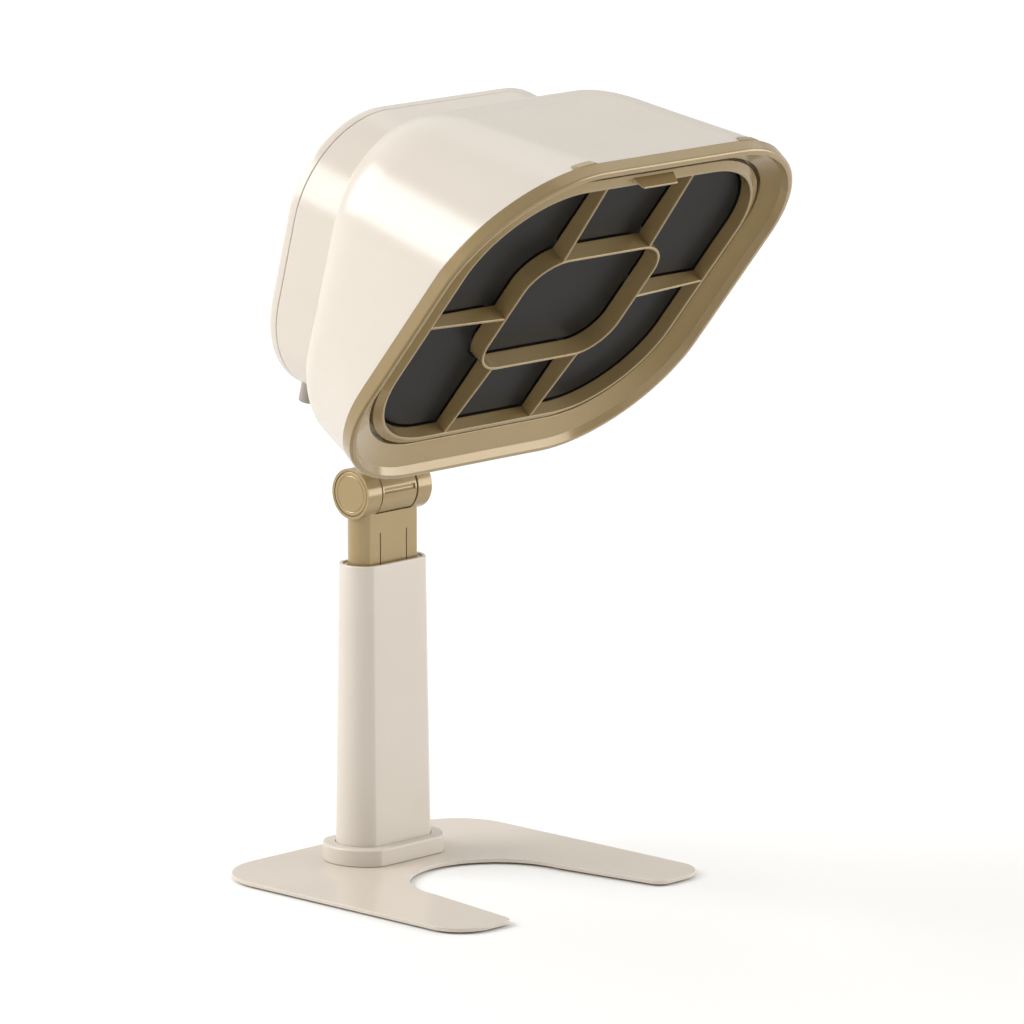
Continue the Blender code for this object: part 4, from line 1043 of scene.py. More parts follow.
@dataclass
class Column(SubAssembly):
    """Tapering oval tube with a rolled rim, and the collar round its foot."""

    foot: float = 0.0036
    top: float = 0.172
    foot_outline: OvalOutline = OvalOutline(0.0614, 0.0314)
    top_outline: OvalOutline = OvalOutline(0.0566, 0.0267)
    collar_outline: OvalOutline = OvalOutline(0.0755, 0.0455)
    wall: float = 0.0022
    floor: float = 0.020
    rim: float = 0.0010
    rim_depth: float = 0.0030
    bore_round: float = 0.0005
    collar_height: float = 0.0095
    collar_round: float = 0.0014
    collar_land: float = 0.0042

    def section(self, level: float, outset: float = 0.0) -> np.ndarray:
        """Draw the column at a height.

        Args:
            level: The height.
            outset: Distance outwards from its skin.

        Returns:
            One row for each point.
        """
        share = (level - self.foot) / (self.top - self.foot)
        low, high = self.foot_outline, self.top_outline
        length = low.length + (high.length - low.length) * share
        return OvalOutline(length, low.depth + (high.depth - low.depth) * share).loop(outset)

    def build_tube(self) -> Object:
        """Build the tube, with a rolled rim and its bore.

        Returns:
            The tube's object.
        """
        rim = filleted(
            [
                (0, self.top - self.rim_depth, 0),
                (0, self.top, self.rim),
                (-self.wall, self.top, self.bore_round),
                (-self.wall, self.top - self.rim_depth, 0),
            ]
        )
        rings = [flat(self.section(self.foot), self.foot)]
        rings += [flat(self.section(min(level, self.top), outset), level) for outset, level in rim]
        bore = self.top_outline.loop(-self.wall)
        rings.append(flat(bore, self.foot + self.floor))
        return Form().loft(rings).piece("column_tube")

    def build_collar(self) -> Object:
        """Build the collar with a soft upper edge.

        Returns:
            The collar's object.
        """
        top, inner = self.foot + self.collar_height, self.section(self.foot, SEAT_GAP)
        profile = filleted(
            [(0, self.foot, 0), (0, top, self.collar_round), (-self.collar_land, top, 0)]
        )
        rings = [flat(self.collar_outline.loop(outset), level) for outset, level in profile]
        rings += [flat(inner, top), flat(inner, self.foot)]
        return Form().loft(rings, capped=False).piece("column_collar_trim")

    def dress(self) -> None:
        """Mould both in cream, and dress the bush inside."""
        self.show(self.build_tube(), Body.STAND, Slot.CREAM_ABS, CREAM_ABS, ["column"])
        self.show(self.build_collar(), Body.STAND, Slot.CREAM_ABS, CREAM_ABS, ["column_collar"])
        self.dress_nodes(CREAM_ABS, "column_bush")


@dataclass
class Post(SubAssembly):
    """Telescopic post with its spring tongue, fork ears and round caps."""

    outline: OvalOutline = OvalOutline(0.047, 0.0172)
    wall: float = 0.0022
    bottom: float = 0.072
    tongue_top: float = 0.1892
    tongue_length: float = 0.070
    tongue_half: float = 0.0103
    slit: float = 0.0008
    barrel_radius: float = 0.0143
    barrel_half: float = 0.025
    fork_half: float = 0.0143
    cradle_radius: float = 0.0146
    cap_radius: float = 0.0124
    cap_thickness: float = 0.0015
    cap_round: float = 0.0007
    cap_dome: float = 0.00002
    cap_pole: float = 0.0004
    ring_inset: float = 0.0022
    ring_half: float = 0.0003
    ring_depth: float = 0.00025
    ring_round: float = 0.0002
    ring_root: float = 0.0001
    bolt_radius: float = 0.0030
    head_radius: float = 0.0052
    head_height: float = 0.0032
    edge_round: float = 0.0005

    def build_post(self) -> Object:
        """Build the post: tube, barrel, cradle between the ears, bores and tongue slits.

        Returns:
            The post's object.
        """
        outer, inner = self.outline.loop(), self.outline.loop(-self.wall)
        ear_root = HINGE.z - self.barrel_radius / 2
        rings = [flat(inner, self.tongue_top), flat(inner, self.bottom), flat(outer, self.bottom)]
        post = Form().loft([*rings, flat(outer, ear_root)]).piece("inner_post_lacquered")
        ends, fork = (-self.barrel_half, self.barrel_half), (-self.fork_half, self.fork_half)
        meet(post, Form().rod(self.barrel_radius, ends, BARREL_FRAME), Meeting.JOIN)
        meet(post, Form().rod(self.cradle_radius, fork, BARREL_FRAME), Meeting.CUT)
        soften(post, self.edge_round, BEVEL_ANGLE)
        pocket = self.barrel_half - self.cap_thickness - SEAT_GAP
        seat = pocket - self.head_height - SEAT_GAP
        bores = [
            (self.cap_radius + SEAT_GAP, -2 * self.barrel_half),
            (self.cap_radius + SEAT_GAP, -pocket),
            (self.head_radius + SEAT_GAP, -pocket),
            (self.head_radius + SEAT_GAP, -seat),
            (self.bolt_radius + SEAT_GAP, -seat),
        ]
        bores += [(radius, -level) for radius, level in reversed(bores)]
        meet(post, Form().turned(bores, BARREL_FRAME), Meeting.CUT)
        front = (-self.outline.depth, -self.outline.depth / 2 + self.wall + SEAT_GAP)
        rise = (self.tongue_top - self.tongue_length, self.tongue_top)
        slits = Form()
        for x in (-self.tongue_half, self.tongue_half):
            slits.block((x - self.slit / 2, x + self.slit / 2), front, rise)
        return meet(post, slits, Meeting.CUT)

    def build_cap(self, sign: int) -> Object:
        """Build a round cap with a soft edge and a fine turned groove.

        Args:
            sign: Minus one for the left cap and one for the right.

        Returns:
            The cap's object.
        """
        face, groove = self.barrel_half, self.cap_radius - self.ring_inset
        profile = filleted(
            [
                (self.cap_radius, face - self.cap_thickness, 0),
                (self.cap_radius, face, self.cap_round),
                (groove + self.ring_half, face, self.ring_round),
                (groove, face - self.ring_depth, self.ring_root),
                (groove - self.ring_half, face, self.ring_round),
                (self.cap_pole, face + self.cap_dome, 0),
            ]
        )
        name = "hinge_cap_left_turned" if sign < 0 else "hinge_cap_right_turned"
        return Form().turned([(radius, sign * level) for radius, level in profile], BARREL_FRAME).piece(name)

    def dress(self) -> None:
        """Lacquer the post and its caps, and dress the shoe and the hinge's hardware."""
        self.show(self.build_post(), Body.POST, Slot.GOLD_METAL, GOLD_METAL, ["inner_post"])
        self.show(self.build_cap(-1), Body.POST, Slot.GOLD_METAL, GOLD_METAL, ["hinge_cap_left"])
        self.show(self.build_cap(1), Body.POST, Slot.GOLD_METAL, GOLD_METAL, ["hinge_cap_right"])
        self.dress_nodes(NYLON, "post_shoe")
        self.dress_nodes(ZINC, "hinge_bolt", "hinge_nut", "hinge_washer_left", "hinge_washer_right")


@dataclass
class Neck(SubAssembly):
    """Knuckle between the fork ears, and the flared neck up to the rear housing."""

    foot: OvalOutline = OvalOutline(0.025, 0.016)
    flange: OvalOutline = OvalOutline(0.058, 0.026)
    forward: float = 0.024
    knuckle_radius: float = 0.0140
    knuckle_half: float = 0.0132
    bolt_radius: float = 0.0033
    groove_radius: float = 0.0020
    groove_half: float = 0.0121
    groove_lift: float = 0.0016
    groove_out: float = 0.0009
    edge_round: float = 0.0005
    screw_spread: float = 0.008
    seat: float = -0.0792
    flare: tuple[tuple[float, float], ...] = (
        (0.0, 0.0), (0.4, 0.0), (0.55, 0.02), (0.7, 0.06), (0.78, 0.13), (0.84, 0.22), (0.89, 0.35),
        (0.93, 0.5), (0.955, 0.7), (0.97, 0.86), (1.0, 1.0),
    )

    def ring(self, share: float, grow: float) -> np.ndarray:
        """Draw a section between the hinge's axis and the housing's underside.

        Args:
            share: Place along the neck from nought to one.
            grow: Share of the flange's flare.

        Returns:
            One row for each point.
        """
        length = self.foot.length + (self.flange.length - self.foot.length) * grow
        depth = self.foot.depth + (self.flange.depth - self.foot.depth) * grow
        loop = OvalOutline(length, depth).loop()
        low = flat(loop, 0.0) + np.array(HINGE)
        level = -REAR.height / 2 - SEAT_GAP
        high = np.column_stack((loop[:, 0], np.full(len(loop), level), self.forward - loop[:, 1]))
        return low + (moved(high, REAR_PLANE) - low) * share

    def build_neck(self) -> Object:
        """Build the neck with its knuckle, bolt bore and thumb groove.

        Returns:
            The neck's object.
        """
        rings = [self.ring(share, grow) for share, grow in self.flare]
        neck = Form().loft(rings).piece("hinge_neck_lacquered")
        half = self.knuckle_half
        meet(neck, Form().rod(self.knuckle_radius, (-half, half), BARREL_FRAME), Meeting.JOIN)
        soften(neck, self.edge_round, BEVEL_ANGLE)
        meet(neck, Form().rod(self.bolt_radius, (-2 * half, 2 * half), BARREL_FRAME, HOLE_STEPS), Meeting.CUT)
        out, ends = self.knuckle_radius + self.groove_out, (-self.groove_half, self.groove_half)
        front = BARREL_FRAME @ Matrix.Translation((-self.groove_lift, -out, 0))
        return meet(neck, Form().rod(self.groove_radius, ends, front, SMALL_STEPS), Meeting.CUT)

    def dress(self) -> None:
        """Lacquer the neck and set its two screws, which show only inside the housing."""
        self.show(self.build_neck(), Body.HEAD, Slot.GOLD_METAL, GOLD_METAL, ["hinge_neck"])
        places = [(sign * self.screw_spread, self.forward, 0.0) for sign in (-1, 1)]
        # Y and Z change places, which stands the screws up and mirrors them.
        upright = Matrix(((1, 0, 0, 0), (0, 0, 1, 0), (0, 1, 0, 0), (0, 0, 0, 1)))
        matrix = REAR_PLANE @ Matrix.Translation((0, self.seat, 0)) @ upright
        self.show_screws("neck_screws", places, matrix, ["neck_screw_left", "neck_screw_right"])


@dataclass
class RearHousing(SubAssembly):
    """Fan case and its slotted back cover, held by four screws."""

    wall: float = 0.0025
    cover_depth: float = 0.0064
    cover_round: float = 0.0040
    cover_land: float = 0.0120
    cover_slope: float = 0.0020
    cover_cut: tuple[float, float] = (-0.002, 0.009)
    front: float = 0.0377
    boss_edge: float = 0.0063
    boss_radius: float = 0.0048
    boss_front: float = 0.0287
    edge_round: float = 0.0006
    slots: SlotField = field(default_factory=SlotField)
    button_place: tuple[float, float] = (-0.0735, 0.0125)
    button_clear: float = 0.0048
    button_cut: tuple[float, float] = (0.060, 0.090)
    socket_drop: float = 0.069
    socket_clear: float = 0.0055

    def bosses(self) -> list[tuple[float, float]]:
        """Work out where the four screw bosses stand.

        Returns:
            Their centres in the rear plane.
        """
        reach = (REAR.radius - self.boss_edge) / math.sqrt(2)
        x, y = REAR.width / 2 - REAR.radius + reach, REAR.height / 2 - REAR.radius + reach
        return [(-x, -y), (x, -y), (-x, y), (x, y)]

    def build_case(self) -> Object:
        """Build the case: a tube with soft edges, four bosses and the button's hole.

        Returns:
            The case's object.
        """
        back, soft = self.cover_depth + SEAT_GAP, self.edge_round
        outer = filleted(
            [(self.wall, back, 0), (0, back, soft), (0, self.front, soft), (self.wall, self.front, 0)]
        )
        rings = [moved(flat(REAR.loop(inset), level), REAR_PLANE) for inset, level in outer]
        case = Form().loft(rings, capped=False).piece("rear_housing_shell")
        posts, pilots, shank = Form(), Form(), SCREW.shank_radius + SEAT_GAP
        for x, y in self.bosses():
            place = REAR_PLANE @ Matrix.Translation((x, y, 0))
            posts.rod(self.boss_radius, (back, self.boss_front), place, BOSS_STEPS)
            pilots.rod(shank, (0, self.front), place, SMALL_STEPS)
        meet(case, posts, Meeting.JOIN)
        meet(case, pilots, Meeting.CUT)
        x, forward = self.button_place
        hole = REAR_PLANE @ Matrix.Translation((x, 0, forward)) @ Matrix.Rotation(math.pi / 2, 4, "X")
        return meet(case, Form().rod(self.button_clear, self.button_cut, hole, HOLE_STEPS), Meeting.CUT)

    def build_cover(self) -> Object:
        """Build the back cover flat, cut its slots, wells and socket hole, then lean it back into place.

        Returns:
            The cover's object.
        """
        outside = filleted(
            [
                (self.cover_land, 0, 0),
                (0, 0, self.cover_round),
                (0, self.cover_depth, self.edge_round),
                (self.wall, self.cover_depth, 0),
                (self.wall + self.cover_slope, self.wall, 0),
            ]
        )
        rings = [flat(REAR.loop(inset), level) for inset, level in outside]
        cover = Form().loft(rings).piece("rear_cover_slotted")
        self.slots.cut(cover, CREAM_ABS)
        wells, posts, (low, high) = Form(), Form(), self.cover_cut
        head, shank = SCREW.head_radius + SEAT_GAP, SCREW.shank_radius + SEAT_GAP
        seat = SCREW.head_height + SEAT_GAP
        for x, y in self.bosses():
            place = Matrix.Translation((x, y, 0))
            posts.rod(self.boss_radius, (self.wall / 2, self.cover_depth), place, BOSS_STEPS)
            wells.turned([(head, low), (head, seat), (shank, seat), (shank, high)], place, HOLE_STEPS)
        hole = Matrix.Translation((0, -self.socket_drop, 0))
        wells.rod(self.socket_clear, self.cover_cut, hole, HOLE_STEPS)
        meet(cover, posts, Meeting.JOIN)
        meet(cover, wells, Meeting.CUT)
        cover.data.transform(REAR_PLANE)
        return cover

    def dress(self) -> None:
        """Mould the case and cover in cream and set the cover's screws in their wells."""
        self.show(self.build_case(), Body.HEAD, Slot.CREAM_ABS, CREAM_ABS, ["rear_housing"])
        self.show(self.build_cover(), Body.HEAD, Slot.CREAM_ABS, CREAM_ABS, ["rear_cover"])
        places = [(x, -y, -SCREW.head_height) for x, y in self.bosses()]
        names = [f"cover_screw_{number}" for number in range(1, 5)]
        self.show_screws("cover_screws", places, REAR_PLANE @ Matrix.Rotation(math.pi, 4, "X"), names)


@dataclass
class FrontHood(SubAssembly):
    """Large shell lofted from the leaning rear housing to the steeper mouth."""

    back: float = 0.038
    shoulder_depth: float = 0.0027
    shoulder_turns: tuple[float, float] = (10.0, 80.0)
    shoulder_steps: int = 8
    bulge: float = 0.0092
    bulge_share: float = 0.28
    edge_inset: float = 0.0005
    band: float = 0.008
    wall: float = 0.0025
    spigot_depth: float = 0.004
    spigot_wall: float = 0.002
    sections: int = 44
    inner_every: int = 4
    crowding: float = 2.2

    def ring(self, share: float, inset: float) -> np.ndarray:
        """Draw a section between the shoulder and the mouth.

        Args:
            share: Place along the hood from nought at the shoulder to one at the mouth.
            inset: Distance in from the outer skin.

        Returns:
            One row for each point.
        """
        rounding = math.sqrt(1 - (1 - min(1.0, share / self.bulge_share)) ** 2)
        drawn = inset - self.bulge * rounding * (1 - share)
        near = moved(flat(SHOULDER.loop(drawn), self.back + self.shoulder_depth), REAR_PLANE)
        far = moved(flat(MOUTH.loop(self.edge_inset + drawn), -self.band - SEAT_GAP), MOUTH_PLANE)
        return near + (far - near) * share

    def build(self) -> Object:
        """Build the shell: spigot, rounded shoulder, outer skin and inner skin.

        Returns:
            The hood's object.
        """
        fit = self.wall + SEAT_GAP
        low, high = flat(REAR.loop(), self.back), flat(SHOULDER.loop(), self.back)
        rings = [flat(REAR.loop(fit), self.back), flat(REAR.loop(-SEAT_GAP), self.back)]
        for turn in np.radians(np.linspace(*self.shoulder_turns, self.shoulder_steps)):
            lift = np.array((0, 0, self.shoulder_depth * (1 - math.cos(turn))))
            rings.append(low + (high - low) * math.sin(turn) + lift)
        rings = [moved(ring, REAR_PLANE) for ring in rings]
        shares = np.linspace(0, 1, self.sections) ** self.crowding
        rings += [self.ring(share, 0.0) for share in shares]
        rings += [self.ring(share, self.wall) for share in reversed(shares[:: self.inner_every])]
        throat = fit + self.spigot_wall
        inside = [
            flat(REAR.loop(self.wall), self.back + self.wall),
            flat(REAR.loop(throat), self.back + self.wall),
            flat(REAR.loop(throat), self.back - self.spigot_depth),
            flat(REAR.loop(fit), self.back - self.spigot_depth),
        ]
        rings += [moved(ring, REAR_PLANE) for ring in inside]
        return Form().loft(rings, capped=False).piece("front_hood_shell")

    def dress(self) -> None:
        """Mould the hood in cream."""
        self.show(self.build(), Body.HEAD, Slot.CREAM_ABS, CREAM_ABS, ["front_hood"])


@dataclass
class MouthBezel(SubAssembly):
    """Band, lip, funnel and ledge round the mouth, with two clips on its top edge."""

    hood: FrontHood
    grille: "FilterGrille"
    lip_round: float = 0.0020
    lip: float = 0.0036
    bevel_width: float = 0.0024
    bevel_depth: float = 0.0038
    wall: float = 0.0018
    funnel: float = 0.0170
    ledge: float = 0.0146
    ledge_width: float = 0.0024
    band_round: float = 0.0004
    lip_edge: float = 0.0003
    bevel_round: float = 0.0007
    bevel_lift: float = 0.2
    ledge_round: float = 0.0003
    clip_spread: float = 0.064
    clip_widths: tuple[float, float] = (0.0158, 0.0124)
    clip_share: float = 0.032
    clip_thickness: float = 0.0009
    clip_points: int = 13
    spigot_share: float = 0.06
    lug_clear: float = 0.0064
    socket_below: float = 0.0047
    socket_above: float = 0.0017
    socket_height: float = 0.0032

    def build_band(self) -> Object:
        """Build the ring: its visible front has soft corners, and its back is plain.

        Returns:
            The ring's object.
        """
        lift, foot = GRILLE.raised, self.lip + self.bevel_width
        inner, back = self.funnel + self.ledge_width, self.ledge + self.wall
        fit, behind = self.hood.wall + SEAT_GAP, self.funnel - self.wall
        band, seat = self.hood.band, self.grille.front
        # Inset, level, rise of the outline's centre, and the fillet there.
        front = filleted(
            [
                (fit + self.hood.edge_inset, -band, 0, 0),
                (0, -band, 0, self.band_round),
                (0, 0, 0, self.lip_round),
                (self.lip, 0, 0, self.lip_edge),
                (foot, -self.bevel_depth, lift * self.bevel_lift, self.bevel_round),
                (self.funnel, -seat, lift, self.bevel_round),
                (self.funnel, -self.ledge, lift, self.ledge_round),
                (inner, -self.ledge, lift, 0),
                (inner, -back, lift, 0),
                (behind, -back, lift, 0),
                (behind, -seat - self.wall, lift, 0),
            ]
        )
        rings = [moved(flat(MOUTH.loop(inset, rise), level), MOUTH_PLANE) for inset, level, rise in front]
        spigot = 1 - self.spigot_share
        rings += [self.hood.ring(spigot, fit + self.wall), self.hood.ring(spigot, fit)]
        return Form().loft(rings, capped=False).piece("mouth_bezel_sprayed")

    def top_point(self, ring: np.ndarray, x: float) -> np.ndarray:
        """Find the point on a ring's upper edge at a distance sideways.

        Args:
            ring: Closed loop in the mouth's plane.
            x: Distance sideways.

        Returns:
            The point, between the loop's own points.
        """
        for near, far in zip(ring, np.roll(ring, -1, axis=0)):
            if near[1] > 0 and far[0] != near[0] and min(near[0], far[0]) <= x <= max(near[0], far[0]):
                return near + (far - near) * (x - near[0]) / (far[0] - near[0])
        return ring[0]

    def build_clip(self, sign: int) -> Form:
        """Shape a clip that follows the hood's edge back from the band.

        Args:
            sign: Minus one for the left clip and one for the right.

        Returns:
            The clip's form.
        """
        bite, thick, band = self.hood.edge_inset - SEAT_GAP, self.clip_thickness, self.hood.band
        edge, (root, end) = MOUTH.loop(bite), self.clip_widths
        tip = moved(self.hood.ring(1 - self.clip_share, -SEAT_GAP), MOUTH_PLANE.inverted())
        edges = [
            (flat(edge, -band + self.wall), root, bite / 2),
            (flat(edge, -band - SEAT_GAP), root, thick / 2),
            (tip, end, thick),
        ]
        rings = []
        for line, width, thickness in edges:
            across = sign * self.clip_spread + width * np.linspace(-0.5, 0.5, self.clip_points)
            low = np.array([self.top_point(line, x) for x in across])
            rings.append(np.concatenate((low, low[::-1] + (0, thickness, 0))))
        return Form().loft([moved(ring, MOUTH_PLANE) for ring in rings])

    def build(self) -> Object:
        """Build the whole bezel, with its clips and the sockets for the grille's lugs.

        Returns:
            The bezel's object.
        """
        bezel, sockets = self.build_band(), Form()
        floor = GRILLE.raised - GRILLE.height / 2
        rise = (floor - self.socket_below, floor + self.socket_above)
        levels = (-self.ledge - 2 * self.wall, -self.ledge + self.socket_height)
        for sign in (-1, 1):
            meet(bezel, self.build_clip(sign), Meeting.JOIN)
            middle = sign * self.grille.lug_spread
            sockets.block((middle - self.lug_clear, middle + self.lug_clear), rise, levels, MOUTH_PLANE)
        return meet(bezel, sockets, Meeting.CUT)

    def dress(self) -> None:
        """Spray the bezel gold."""
        self.show(self.build(), Body.HEAD, Slot.GOLD_ABS, GOLD_ABS, ["mouth_bezel"])


@dataclass
class FilterGrille(SubAssembly):
    """Hinged grille with a proud centre ring and six sloping spokes, and the filter panel behind it."""

    front: float = 0.0088
    back: float = 0.0142
    ridge: float = 0.0065
    frame_width: float = 0.0060
    ridge_width: float = 0.0016
    ridge_slope: float = 0.0012
    ridge_round: float = 0.0005
    draft: float = 0.0005
    tray_depth: float = 0.0048
    tray_inset: float = 0.0024
    tray_wall: float = 0.0018
    ring_front: float = 0.0039
    bar: float = 0.0025
    bar_draft: float = 0.0004
    bar_round: float = 0.0006
    spoke_spread: float = 0.0336
    tab_width: float = 0.0339
    tab_end: float = 0.0262
    tab_front: float = 0.0004
    tab_bite: float = 0.0015
    tab_edge: float = 0.00135
    tab_thickness: float = 0.0014
    tab_round: float = 0.0005
    lug_spread: float = 0.045
    lug_width: float = 0.012
    lug_reach: float = 0.0018
    lug_root: float = 0.0030
    lug_thickness: float = 0.0024
    panel_thickness: float = 0.0042
    panel_gap: float = 0.0006
    panel_land: float = 0.0200
    panel_round: float = 0.0012
    press_depth: float = 0.0032
    press_gap: float = 0.0018
    press_rim: float = 0.0010

    def lofted(self, outline: RoundedOutline, profile: Sequence[tuple[float, ...]]) -> Form:
        """Sweep a closed profile round an outline in the mouth's own frame."""
        rows = filleted([*profile, profile[0]])[:-1]
        return Form().loft([flat(outline.loop(inset), level) for inset, level in rows], capped=False)

    def build_frame(self) -> Form:
        """Shape the frame, its ridge and the tray behind it.

        Returns:
            The frame's form.
        """
        tray, deep = self.tray_inset + self.tray_wall, -self.back - self.tray_depth
        profile = [
            (0, -self.front, 0),
            (self.frame_width - self.ridge_width, -self.ridge, self.ridge_slope),
            (self.frame_width, -self.ridge, self.ridge_round),
            (self.frame_width + self.draft, -self.back, 0),
            (tray, -self.back, 0),
            (tray, deep, 0),
            (self.tray_inset, deep, 0),
            (self.tray_inset, -self.back, 0),
            (0, -self.back, 0),
        ]
        return self.lofted(GRILLE, profile)

    def build_ring(self) -> Form:
        """Shape the proud centre ring with soft front edges.

        Returns:
            The ring's form.
        """
        profile = [
            (0, -self.back, 0),
            (self.bar_draft, -self.ring_front, self.bar_round),
            (self.bar - self.bar_draft, -self.ring_front, self.bar_round),
            (self.bar, -self.back, 0),
        ]
        return self.lofted(RING, profile)

    def build_spoke(self, length: float) -> Object:
        """Build one spoke along X from the ring, its front edge sloping back to the frame.

        Args:
            length: Length of the spoke.

        Returns:
            The spoke, for a repeater to copy.
        """
        rings, half = [], self.bar / 2
        for x, front in ((0.0, -self.ring_front - SEAT_GAP), (length, -self.ridge - SEAT_GAP)):
            section = filleted(
                [
                    (-half, -self.back, 0),
                    (-half + self.bar_draft, front, self.bar_round),
                    (half - self.bar_draft, front, self.bar_round),
                    (half, -self.back, 0),
                ]
            )
            rings.append(np.column_stack((np.full(len(section), x), section)))
        return Form().loft(rings).piece("spoke")

    def build_spokes(self) -> Object:
        """Set two spokes up, two down and one to each side.

        Returns:
            The spokes as one mesh in the mouth's own frame.
        """
        bite = self.bar / 2
        side, rise = RING.width / 2 - bite, RING.height / 2 - bite
        upright = GRILLE.height / 2 - self.frame_width + bite - rise
        across = GRILLE.width / 2 - self.frame_width + bite - side
        places, turns, stretches = [], [], []
        for sign in (-1, 1):
            for x in (-self.spoke_spread, self.spoke_spread):
                places.append((x, GRILLE.raised + sign * rise, 0.0))
                turns.append(sign * math.pi / 2)
                stretches.append(1.0)
            places.append((sign * side, GRILLE.raised, 0.0))
            turns.append(0.0 if sign > 0 else math.pi)
            stretches.append(across / upright)
        pattern = self.build_spoke(upright)
        return self.repeater.spread("grille_spokes", pattern, places, GOLD_ABS, turns, stretches)

    def build_tab(self) -> Object:
        """Build the tapered finger tab that stands out from the frame's top.

        Returns:
            The tab, in the mouth's own frame.
        """
        left = [(-self.tab_width / 2, -self.front - self.tab_bite), (-self.tab_end / 2, -self.tab_front)]
        outline = np.array([*left, *[(-x, level) for x, level in reversed(left)]])
        top = GRILLE.raised + GRILLE.height / 2 - self.tab_edge
        rings = [np.insert(outline, 1, height, axis=1) for height in (top, top - self.tab_thickness)]
        return soften(Form().loft(rings).piece("finger_tab"), self.tab_round)

    def build_grille(self) -> Object:
        """Build the grille: frame, ring, spokes, tab and lugs as one mesh.

        Returns:
            The grille's object.
        """
        grille = self.build_frame().piece("filter_grille_sprayed")
        floor = GRILLE.raised - GRILLE.height / 2
        rise = (floor - self.lug_reach, floor + self.lug_root)
        levels = (-self.back + SEAT_GAP, -self.back + self.lug_thickness)
        lugs = Form()
        for middle in (-self.lug_spread, self.lug_spread):
            lugs.block((middle - self.lug_width / 2, middle + self.lug_width / 2), rise, levels)
        meet(grille, lugs, Meeting.JOIN)
        meet(grille, self.build_ring(), Meeting.JOIN)
        gather(grille, self.build_spokes(), self.build_tab())
        grille.data.transform(MOUTH_PLANE)
        return grille

    def press_grooves(self, panel: Object, front: float) -> None:
        """Press the felt back under the frame, the ring and the spokes, which leaves a dark line beside each.

        Args:
            panel: The filter panel, in the mouth's own frame.
            front: Level of the panel's front.
        """
        low, high, gap = front - self.press_depth, front + self.press_depth, self.press_gap
        rim = self.tray_inset + self.tray_wall + SEAT_GAP + self.press_rim
        bands = ((GRILLE, rim, self.frame_width + self.draft + gap), (RING, -gap, self.bar + gap))
        for outline, outer, inner in bands:
            profile = [(outer, low, 0), (outer, high, 0), (inner, high, 0), (inner, low, 0)]
            meet(panel, self.lofted(outline, profile), Meeting.CUT)
        half, middle = self.bar / 2 + gap, GRILLE.raised
        sides = (RING.width / 2 - gap, GRILLE.width / 2 - self.frame_width)
        rises = (RING.height / 2 - gap, GRILLE.height / 2 - self.frame_width)
        across = (middle - half, middle + half)
        strips = [([sign * side for side in sides], across) for sign in (-1, 1)]
        for x in (-self.spoke_spread, self.spoke_spread):
            strips += [((x - half, x + half), [middle + sign * rise for rise in rises]) for sign in (-1, 1)]
        for x, y in strips:
            meet(panel, Form().block(x, y, (low, high)), Meeting.CUT)

    def build_panel(self) -> Object:
        """Build the filter panel with a soft pressed edge and grooves under the grille's bars.

        Returns:
            The panel's object.
        """
        inset = self.tray_inset + self.tray_wall + SEAT_GAP
        front = -self.back - self.panel_gap
        back = front - self.panel_thickness
        profile = filleted(
            [
                (inset + self.panel_land, front, 0),
                (inset, front, self.panel_round),
                (inset, back, self.panel_round),
                (inset + self.panel_land, back, 0),
            ]
        )
        rings = [flat(GRILLE.loop(edge), level) for edge, level in profile]
        panel = Form().loft(rings).piece("filter_panel_felt")
        self.press_grooves(panel, front)
        panel.data.transform(MOUTH_PLANE)
        return panel

    def dress(self) -> None:
        """Spray the grille gold and lay the charcoal panel behind it."""
        self.show(self.build_grille(), Body.FILTER, Slot.GOLD_ABS, GOLD_ABS, ["filter_grille"])
        self.show(self.build_panel(), Body.FILTER, Slot.CHARCOAL, CHARCOAL, ["filter_panel"])


